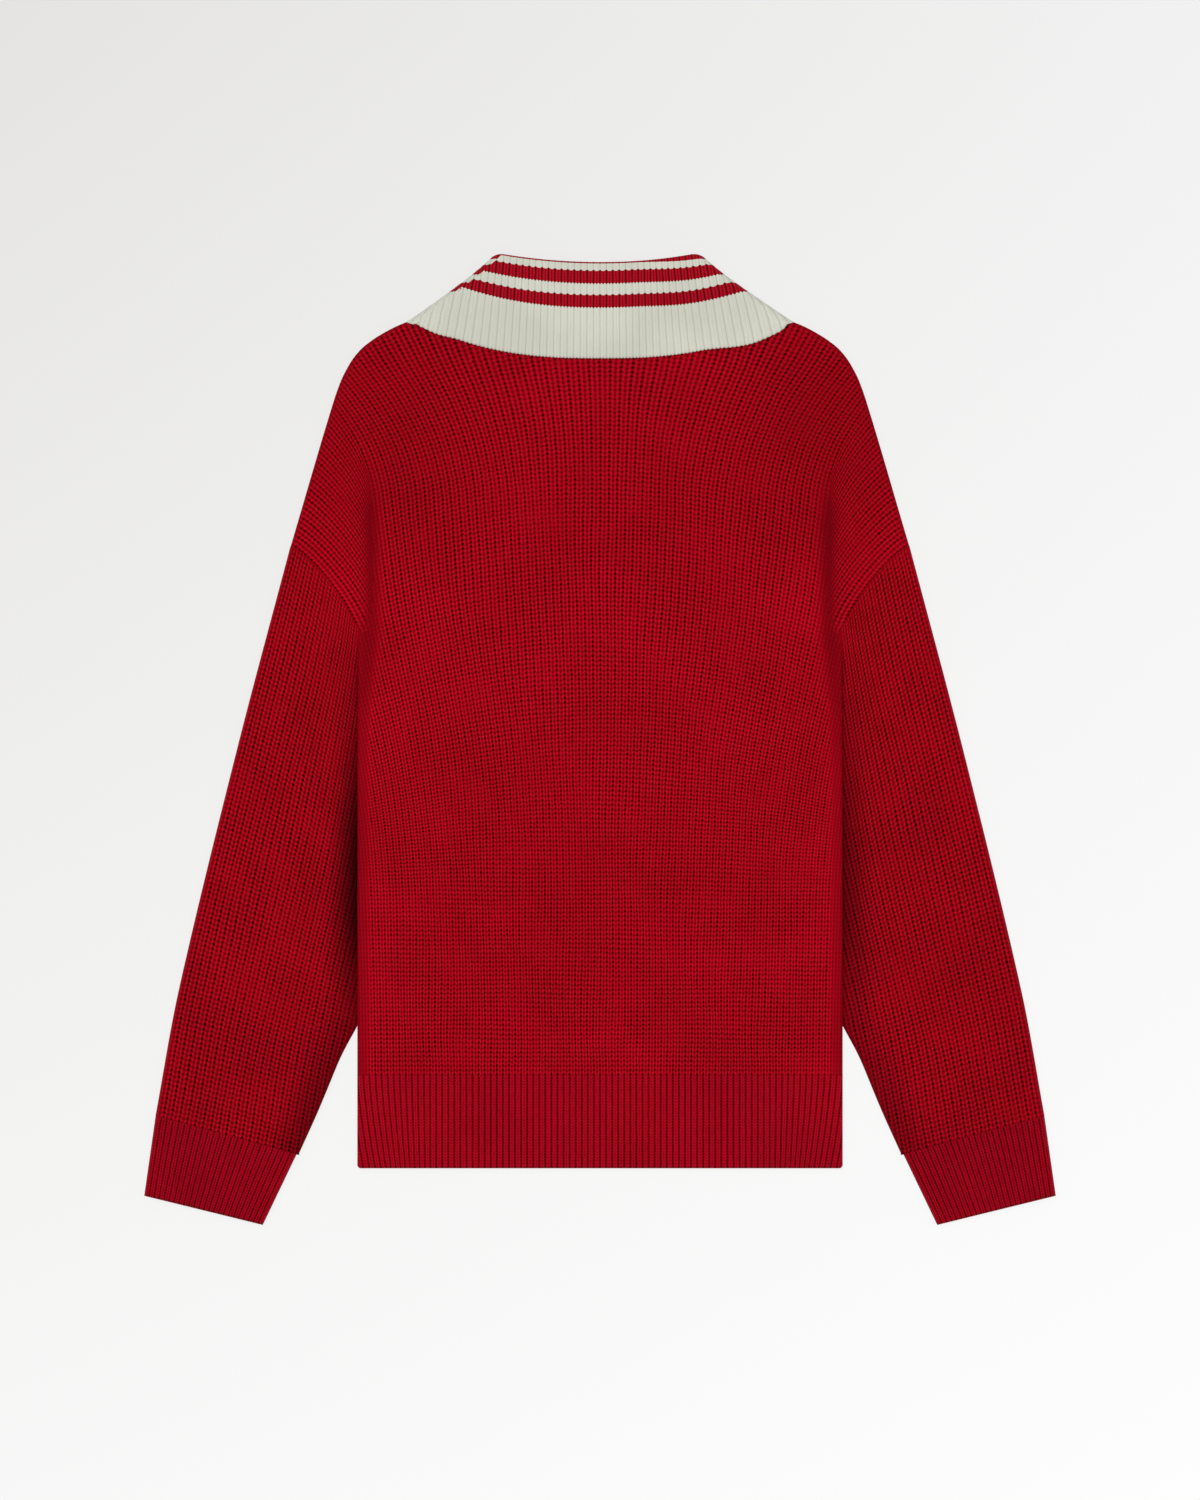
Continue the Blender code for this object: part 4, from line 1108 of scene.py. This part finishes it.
class Shader:
    """A material whose nodes are made by plain calls."""

    def __init__(self, name, roughness, metallic=0.0, sheen=0.0, gloss=0.25, tint=(1.0, 1.0, 1.0, 1.0)):
        self.material = bpy.data.materials.new(name)
        self.material.use_nodes = True
        self.tree = self.material.node_tree
        self.surface = self.tree.nodes["Principled BSDF"]
        self.give("Roughness", roughness)
        self.give("Metallic", metallic)
        self.give("Sheen Weight", sheen)
        self.give("Sheen Roughness", 0.5)
        self.give("Sheen Tint", tint)
        self.give("Specular IOR Level", gloss)
        self.give("Specular Tint", tint)

    def plug(self, target, value):
        if isinstance(value, Signal):
            self.tree.links.new(value.socket, target)
        else:
            target.default_value = value

    def give(self, name, value):
        """Sets an input of the surface itself."""
        self.plug(self.surface.inputs[name], value)

    def node(self, kind, inputs=(), output=0, **settings):
        """One output of a new node that has these settings, and these values at its inputs."""
        node = self.tree.nodes.new("ShaderNode" + kind)
        for name, value in settings.items():
            setattr(node, name, value)
        for place, value in dict(inputs).items():
            self.plug(node.inputs[place], value)
        return Signal(self, node.outputs[output])

    def math(self, operation, *values):
        return self.node("Math", enumerate(values), operation=operation)

    def ramp(self, value, low, high, to_low=0.0, to_high=1.0, kind="SMOOTHSTEP"):
        inputs = {"Value": value, "From Min": low, "From Max": high, "To Min": to_low, "To Max": to_high}
        return self.node("MapRange", inputs, "Result", interpolation_type=kind)

    def blend(self, share, a, b, mode="MIX"):
        return self.node("Mix", {0: share, 6: a, 7: b}, 2, data_type="RGBA", blend_type=mode)

    def vector(self, x, y, z=0.0):
        return self.node("CombineXYZ", enumerate((x, y, z)))

    def split(self, vector):
        """The first two parts of a vector."""
        return [self.node("SeparateXYZ", {0: vector}, part) for part in (0, 1)]

    def uv(self):
        return self.split(self.node("UVMap", uv_map="knit"))

    def position(self):
        return self.node("TexCoord", output="Object")

    def attribute(self, name):
        return self.node("Attribute", output="Fac", attribute_name=name)

    def noise(self, vector, scale, detail=2.0):
        return self.node("TexNoise", {"Vector": vector, "Scale": scale, "Detail": detail}, "Fac")

    def patchy(self, vector, scale, detail, low, high, least):
        """Noise from least up to 1, stretched so that it is least at low and 1 at high."""
        return self.ramp(self.noise(vector, scale, detail), low, high, least, 1.0)

    def stray(self, vector, scale, most):
        """Soft noise around 0, up to this much either way."""
        return most * (2 * self.noise(vector, scale, 1.0) - 1)

    def fibres(self, u, v, across, along, detail=3.0):
        """Noise that is this fine across and along the wales."""
        return self.noise(self.vector(u * across, v * along), 1.0, detail)

    def wave(self, value, turns):
        """Cosine of value counted in turns, from -1 to 1."""
        return self.math("COSINE", value * (2 * math.pi * turns))

    def arches(self, value, count):
        """Arches of a sine from 0 to 1, this many to each whole number of value."""
        return self.math("ABSOLUTE", self.math("SINE", value * (math.pi * count)))

    def bump(self, height, distance, strength):
        inputs = {"Height": height, "Distance": distance, "Strength": strength}
        self.give("Normal", self.node("Bump", inputs))

    def color(self, value):
        self.give("Base Color", value)


# Red yarn: painted shade in its holes, grooves and furrows, its own colour, and painted light on its
# loops
RED_SHADE = (0.0150, 0.0002, 0.0003, 1.0)
RED_MID = (0.3680, 0.0009, 0.0061, 1.0)
RED_LIGHT = (0.6200, 0.0039, 0.0262, 1.0)
RED_GLOSS = (1.0, 0.10, 0.12, 1.0)
CREAM = (0.590, 0.600, 0.520, 1.0)
# painted shade in the cream's furrows
CREAM_SHADE = (0.420, 0.360, 0.240, 1.0)
COLLAR_RED = (0.365, 0.0011, 0.0082, 1.0)
# painted shade in the red stripes' furrows and between the strands of each rib
COLLAR_RED_SHADE = (0.050, 0.0006, 0.0020, 1.0)
TAPE_DARK = (0.060, 0.0010, 0.0030, 1.0)
TAPE_LIGHT = (0.260, 0.0040, 0.0120, 1.0)
THREADS = 1250  # of the tape, to a metre
METAL_DARK = (0.430, 0.425, 0.405, 1.0)
METAL_LIGHT = (0.500, 0.495, 0.475, 1.0)
HOLE_CLOSES = 2.75  # a hole shrinks by this much of the waves that draw it as the knit closes
CLOSED_SHADE = 0.34  # how much darker closed knit is than its yarn, as open knit is on average
WEAK_HOLES = 0.62  # strength of the painted shade in the holes of every second column
GROOVES = 0.38  # painted shade in the grooves between the holes
WALE_STRAY = 0.06  # how far the yarn strays from its wale, in wales
COURSE_STRAY = 0.20  # and from its course, in courses
RIB_STRAY = 0.07  # how far a rib strays from its line, in ribs

# Patches of noise: scale, detail, where it is least and where full, and how little is least
CLOUDS = (14.0, 3.0, 0.34, 0.62, 0.90)  # of light on the yarn
SLACK_PATCHES = (26.0, 2.0, 0.34, 0.56, 0.84)  # where the knit stands more and less open
UNEVEN_HOLES = (1.9, 1.0, 0.28, 0.64, 0.68)  # from one hole to the next


def shade_by(shader, color):
    """Darkens a colour by the painted shade of the piece's shade attribute, and a little here and there.
    """
    shade = shader.attribute("shade") * shader.patchy(shader.position(), *CLOUDS)
    return shader.blend(1.0, color, shader.vector(shade, shade, shade), "MULTIPLY")


def fisherman_material():
    """Red half-cardigan rib: a lattice of holes in rounded yarn, with painted shade in the holes."""
    shader = Shader("fisherman_rib_red", 0.82, sheen=0.05, gloss=0.12, tint=RED_GLOSS)
    u, v = shader.uv()
    place = shader.vector(u, v)
    opened = shader.attribute("open") * shader.patchy(shader.position(), *SLACK_PATCHES)

    # Wales and courses stray a little from even lines
    rise = shader.stray(shader.vector(v, u), 1.1, COURSE_STRAY)
    u = u + shader.stray(place, 1.3, WALE_STRAY)
    v = v + rise
    column = shader.wave(u, 2)
    strong = shader.wave(u, 1)
    row = shader.wave(v + LAG / 2 * (1 - strong), 1)

    # Painted shade in the holes, deeper in every second column, and in the grooves that join them
    weight = shader.ramp(strong, -1.0, 1.0, WEAK_HOLES, 1.0)
    hole = shader.ramp(column + row - HOLE_CLOSES * (1 - opened), -0.75, 1.45)
    hole = hole * weight * shader.patchy(place, *UNEVEN_HOLES)
    groove = shader.ramp(column, -0.5, 0.9) * GROOVES * opened * weight
    closed = shader.ramp(opened, 1.0, 0.0, 0.0, CLOSED_SHADE)

    # Light on the loops between the holes, broken up by the yarn's plies
    ply = shader.fibres(u, v, 9.0, 4.0)
    light = shader.ramp(row, 0.6, -1.0, 0.35, 1.0) * shader.ramp(column, 0.6, -0.9)
    light = light * shader.ramp(ply, 0.25, 0.75, 0.3, 1.0)
    color = shader.blend(light, RED_MID, RED_LIGHT)
    # Painted shade over the yarn's colour, in grooves, closed knit and holes
    for dark in (groove, closed, hole):
        color = shader.blend(dark, color, RED_SHADE)
    shader.color(shade_by(shader, color))
    shader.bump(ply * 0.5 - hole, 0.0006, 0.6)
    return shader.material


def rib_pattern(shader, narrow, middle):
    """Yarn of a ribbed band: how deep in a furrow, and how much light the loops catch.

    narrow sets the width of the furrows, and middle the strength of the line along each rib.
    """
    u, v = shader.uv()
    stray = shader.fibres(u, v, 0.9, 0.35, 1.0)
    u = u + RIB_STRAY * (2 * stray - 1)
    zig = shader.wave(v + 0.45 * shader.arches(u, 1), 1)
    furrow = shader.ramp(shader.wave(u, 1), narrow, 1.0) * shader.ramp(zig, -1.0, 1.0, 0.72, 1.0)
    line = shader.ramp(shader.wave(u, 2), narrow, 1.0) * middle
    line = line * shader.ramp(stray, 0.35, 0.65, 0.5, 1.0)
    deep = shader.math("MAXIMUM", furrow, line)
    ply = shader.fibres(u, v, 8.0, 3.0)
    light = shader.ramp(ply, 0.25, 0.75, 0.2, 1.0) * shader.ramp(zig, 1.0, -1.0, 0.3, 1.0)
    return u, v, deep, light, ply


def band_material(name, narrow, middle):
    """Red rib of the lower bands and the cuffs."""
    shader = Shader(name, 0.82, sheen=0.05, gloss=0.12, tint=RED_GLOSS)
    _, _, deep, light, ply = rib_pattern(shader, narrow, middle)
    color = shader.blend(light, RED_MID, RED_LIGHT)
    # Painted shade in the furrows and along the line between each rib's strands
    color = shader.blend(deep * 0.90, color, RED_SHADE)
    shader.color(shade_by(shader, color))
    shader.bump(ply * 0.5 - deep, 0.0005, 0.5)
    return shader.material


# Courses from the crest to each change of colour, and the shape and size of that boundary
STRIPES = [
    (0.6, "even", 0.0),
    (3.0, "lobes", 0.55),
    (7.8, "teeth", 0.42),
    (11.6, "lobes", 0.55),
    (16.3, "teeth", 0.42),
]
RIGHT_DROP = 1.7  # courses by which the band is rolled further outward at the right of the neck
RIGHT_DROP_RIBS = (5, 17, 30, 44)  # ribs where that begins, is full, begins to ease, and ends


def collar_material():
    """Cream rib with red stripes. White ends in a rounded lobe on each rib, red in fine teeth."""
    shader = Shader("collar_rib_striped", 0.88, sheen=0.04, gloss=0.06)
    u, v, deep, light, ply = rib_pattern(shader, 0.80, 0.50)
    shapes = {"even": 0.5, "lobes": shader.arches(u, 1), "teeth": 1 - shader.arches(u, 2)}
    begins, full, eases, ends = RIGHT_DROP_RIBS
    dropped = v - RIGHT_DROP * (shader.ramp(u, begins, full) - shader.ramp(u, eases, ends))
    red = shader.ramp(v, -1.6, -1.5)
    for number, (edge, shape, size) in enumerate(STRIPES):
        step = shader.ramp(dropped - size * (shapes[shape] - 0.5), edge - 0.08, edge + 0.08)
        red = red + step if number % 2 else red - step
    # Painted shade in the red stripes' grooves and between the two strands of each rib
    strands = shader.ramp(shader.wave(u, 2), -0.4, 1.0, 0.0, 0.70)
    grooves = shader.ramp(shader.wave(u, 1), 0.3, 1.0, 0.0, 0.90)
    # Painted shade in the cream's furrows, and painted light on the red loops
    cream = shader.blend(deep * 0.60, CREAM, CREAM_SHADE)
    warm = shader.blend(light * 0.6, COLLAR_RED, RED_LIGHT)
    warm = shader.blend(shader.math("MAXIMUM", grooves, strands), warm, COLLAR_RED_SHADE)
    shader.color(shade_by(shader, shader.blend(red, cream, warm)))
    shader.bump(ply * 0.4 - deep, 0.0005, 0.4)
    return shader.material


def tape_material():
    """Herringbone tape in dark red."""
    shader = Shader("zip_tape_weave", 0.75, sheen=0.2)
    x, y = shader.split(shader.position())
    aside = shader.math("ABSOLUTE", x)
    both = shader.wave(y + aside, THREADS) + shader.wave(y - aside, THREADS)
    weave = shader.ramp(both, -2.0, 2.0)
    shader.color(shader.blend(weave, TAPE_DARK, TAPE_LIGHT))
    shader.bump(weave, 0.0002, 0.7)
    return shader.material


def metal_material():
    shader = Shader("zip_metal_satin", 0.34, metallic=1.0)
    wear = shader.noise(shader.position(), 900.0, 4.0)
    shader.color(shader.blend(wear, METAL_DARK, METAL_LIGHT))
    shader.give("Roughness", shader.ramp(wear, 0.3, 0.7, 0.26, 0.46))
    shader.bump(wear, 0.00005, 0.4)
    return shader.material


# ---- zip details ---------------------------------------------------------------------------


BOX_FACES = [(3, 2, 1, 0), (4, 5, 6, 7), (0, 1, 5, 4), (1, 2, 6, 5), (2, 3, 7, 6), (3, 0, 4, 7)]


def boxes_mesh(name, boxes, bevel):
    """One mesh from separate bevelled boxes: (low corner, high corner) each."""
    vertices = []
    faces = []
    for low, high in boxes:
        first = len(vertices)
        for z in (low[2], high[2]):
            vertices += [(low[0], low[1], z), (high[0], low[1], z)]
            vertices += [(high[0], high[1], z), (low[0], high[1], z)]
        faces += [[first + corner for corner in face] for face in BOX_FACES]
    mesh = bpy.data.meshes.new(name)
    mesh.from_pydata(vertices, [], faces)
    return bevelled(add_object(name, mesh), bevel)


def bevelled(piece, width):
    """Rounds the piece's edges off by this width, and keeps the result as its mesh."""
    edges = piece.modifiers.new("edges", "BEVEL")
    edges.width = width
    edges.segments = 2
    graph = bpy.context.evaluated_depsgraph_get()
    mesh = bpy.data.meshes.new_from_object(piece.evaluated_get(graph))
    piece.modifiers.clear()
    piece.data = mesh
    mesh.shade_smooth()
    mesh.set_sharp_from_angle(angle=SHARP_FROM)
    return piece


def softened(name, node, body, material):
    """A copy of a metal solid with rounded edges, in its place."""
    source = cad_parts[node]
    mesh = source.data.copy()
    mesh.transform(source.matrix_world)
    mesh.materials.clear()
    piece = add_object(name, mesh)
    joined = piece.modifiers.new("joined", "WELD")
    joined.merge_threshold = JOIN_WITHIN
    return finish_piece(bevelled(piece, METAL_BEVEL), material, [node], body)


def make_teeth(material):
    """The closed chain: teeth from both sides, each reaching past the middle."""
    boxes = []
    count = int((ZIP_TOP - ZIP_BOTTOM - CHAIN_SHORT) / TOOTH_PITCH)
    for index in range(count):
        for side in (-1, 1):
            y = ZIP_BOTTOM + CHAIN_START + (index + (0.5 if side > 0 else 0)) * TOOTH_PITCH
            level = float(mid_level(0.0, y)) - GAP / 2 - TAPE_THICK
            x0, x1 = sorted((-side * TOOTH_OVERLAP, side * TOOTH_REACH))
            low = level - TOOTH_PROUD
            boxes.append(((x0, y - TOOTH_HALF, low), (x1, y + TOOTH_HALF, low + TOOTH_DEEP)))
    teeth = boxes_mesh("zip_teeth", boxes, TOOTH_BEVEL)
    return finish_piece(teeth, material)


# ---- the surroundings ----------------------------------------------------------------------


VIEW_HEIGHT = 1.2  # metres of floor from the top of the picture to its bottom
VIEW_WIDTH = 0.96
VIEW_MIDDLE_Y = -0.0084
CAMERA_HEIGHT = 5.0
FLOOR_CORNER = (0.767, 0.760, 0.745, 1.0)  # at the picture's upper left
FLOOR_ACROSS = (0.871, 0.871, 0.871, 1.0)  # at its upper right
FLOOR_DOWN = (0.930, 0.930, 0.928, 1.0)  # at its lower left
FLOOR_FAR = (0.982, 0.982, 0.982, 1.0)  # at its lower right
FLOOR_SHADOW = 0.10  # share of the floor's light that the garment can shade
FLOOR_HALF = 6.0
FLOOR_LEVEL = -0.0002
WORLD_LIGHT = 0.62
LIGHTS = [  # name, place, size, power
    ("soft_overhead", (-0.9, 1.1, 3.2), 2.4, 62.0),
    ("soft_fill", (1.6, -1.4, 2.6), 2.0, 14.0),
]


def make_floor():
    """A plain pale floor that glows with painted light, lighter towards the lower right, and takes only
    a faint shadow.
    """
    mesh = bpy.data.meshes.new("floor")
    corners = [(-1, -1), (1, -1), (1, 1), (-1, 1)]
    points = [(x * FLOOR_HALF, y * FLOOR_HALF, FLOOR_LEVEL) for x, y in corners]
    mesh.from_pydata(points, [], [(0, 1, 2, 3)])
    floor = add_object("floor", mesh)
    shader = Shader("floor_pale", 0.9, gloss=0.0)
    x, y = shader.split(shader.position())
    top = VIEW_MIDDLE_Y + VIEW_HEIGHT / 2
    across = shader.ramp(x, -VIEW_WIDTH / 2, VIEW_WIDTH / 2, kind="LINEAR")
    down = shader.ramp(y, top, top - VIEW_HEIGHT, kind="LINEAR")
    upper = shader.blend(across, FLOOR_CORNER, FLOOR_ACROSS)
    lower = shader.blend(across, FLOOR_DOWN, FLOOR_FAR)
    color = shader.blend(down, upper, lower)
    shader.color(shader.blend(1.0, color, (FLOOR_SHADOW, FLOOR_SHADOW, FLOOR_SHADOW, 1.0), "MULTIPLY"))
    shader.give("Emission Color", color)
    shader.give("Emission Strength", 1 - FLOOR_SHADOW)
    mesh.materials.append(shader.material)


def area_light(name, place, size, power):
    data = bpy.data.lights.new(name, "AREA")
    data.shape = "SQUARE"
    data.size = size
    data.energy = power
    light = add_object(name, data)
    light.location = place
    light.rotation_euler = (-light.location).to_track_quat("-Z", "Y").to_euler()


def make_studio():
    scene = bpy.context.scene
    scene.view_settings.view_transform = "Standard"
    world = bpy.data.worlds.new("studio")
    world.use_nodes = True
    world.node_tree.nodes["Background"].inputs["Color"].default_value = (1.0, 1.0, 1.0, 1.0)
    world.node_tree.nodes["Background"].inputs["Strength"].default_value = WORLD_LIGHT
    scene.world = world
    for light in LIGHTS:
        area_light(*light)
    data = bpy.data.cameras.new("camera")
    data.sensor_width = 36.0
    data.lens = data.sensor_width * CAMERA_HEIGHT / VIEW_HEIGHT
    data.clip_end = 50.0
    camera = add_object("camera", data)
    camera.location = (0.0, VIEW_MIDDLE_Y, CAMERA_HEIGHT)
    scene.camera = camera


# ---- all together --------------------------------------------------------------------------


def main():
    red = fisherman_material()
    band = band_material("band_rib_red", 0.10, 0.52)
    cuff_band = band_material("cuff_rib_red", 0.25, 0.85)
    cream = collar_material()
    tape = tape_material()
    metal = metal_material()

    front = panel("front_knit", "front", NECK_FRONT_Y, up=-1, seed=31, material=red)
    back = panel("back_knit", "back", NECK_BACK_Y, up=1, seed=11, material=red)

    for label, up, node in (("hem_back", 1, "hem_rib_back"), ("hem_front", -1, "hem_rib_front")):
        hem = mesh_from(label, [hem_grid(up, 51 + up)])
        finish_piece(hem, band, [node])

    for side, sign in (("right", 1), ("left", -1)):
        grids = [sleeve_grid(1, 61 + sign, sign), sleeve_grid(-1, 64 + sign, sign)]
        cuffs = [cuff_grid(1, 71 + sign), cuff_grid(-1, 74 + sign)]
        if sign < 0:
            grids = [grid.mirrored() for grid in grids]
            cuffs = [grid.mirrored() for grid in cuffs]
        sleeve = mesh_from(f"sleeve_{side}_knit", grids)
        finish_piece(sleeve, red, [f"sleeve_{side}"])
        cuff = mesh_from(f"cuff_{side}_rib", cuffs)
        finish_piece(cuff, cuff_band, [f"cuff_{side}"])

    collar = make_collar(cream)
    make_teeth(metal)
    softened("zip_slider_body", "zip_slider", GARMENT, metal)
    softened("zip_pull_tab_body", "zip_pull_tab", PULL_TAB, metal)
    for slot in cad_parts["zip_tape"].material_slots:
        slot.material = tape

    make_floor()
    make_studio()


main()
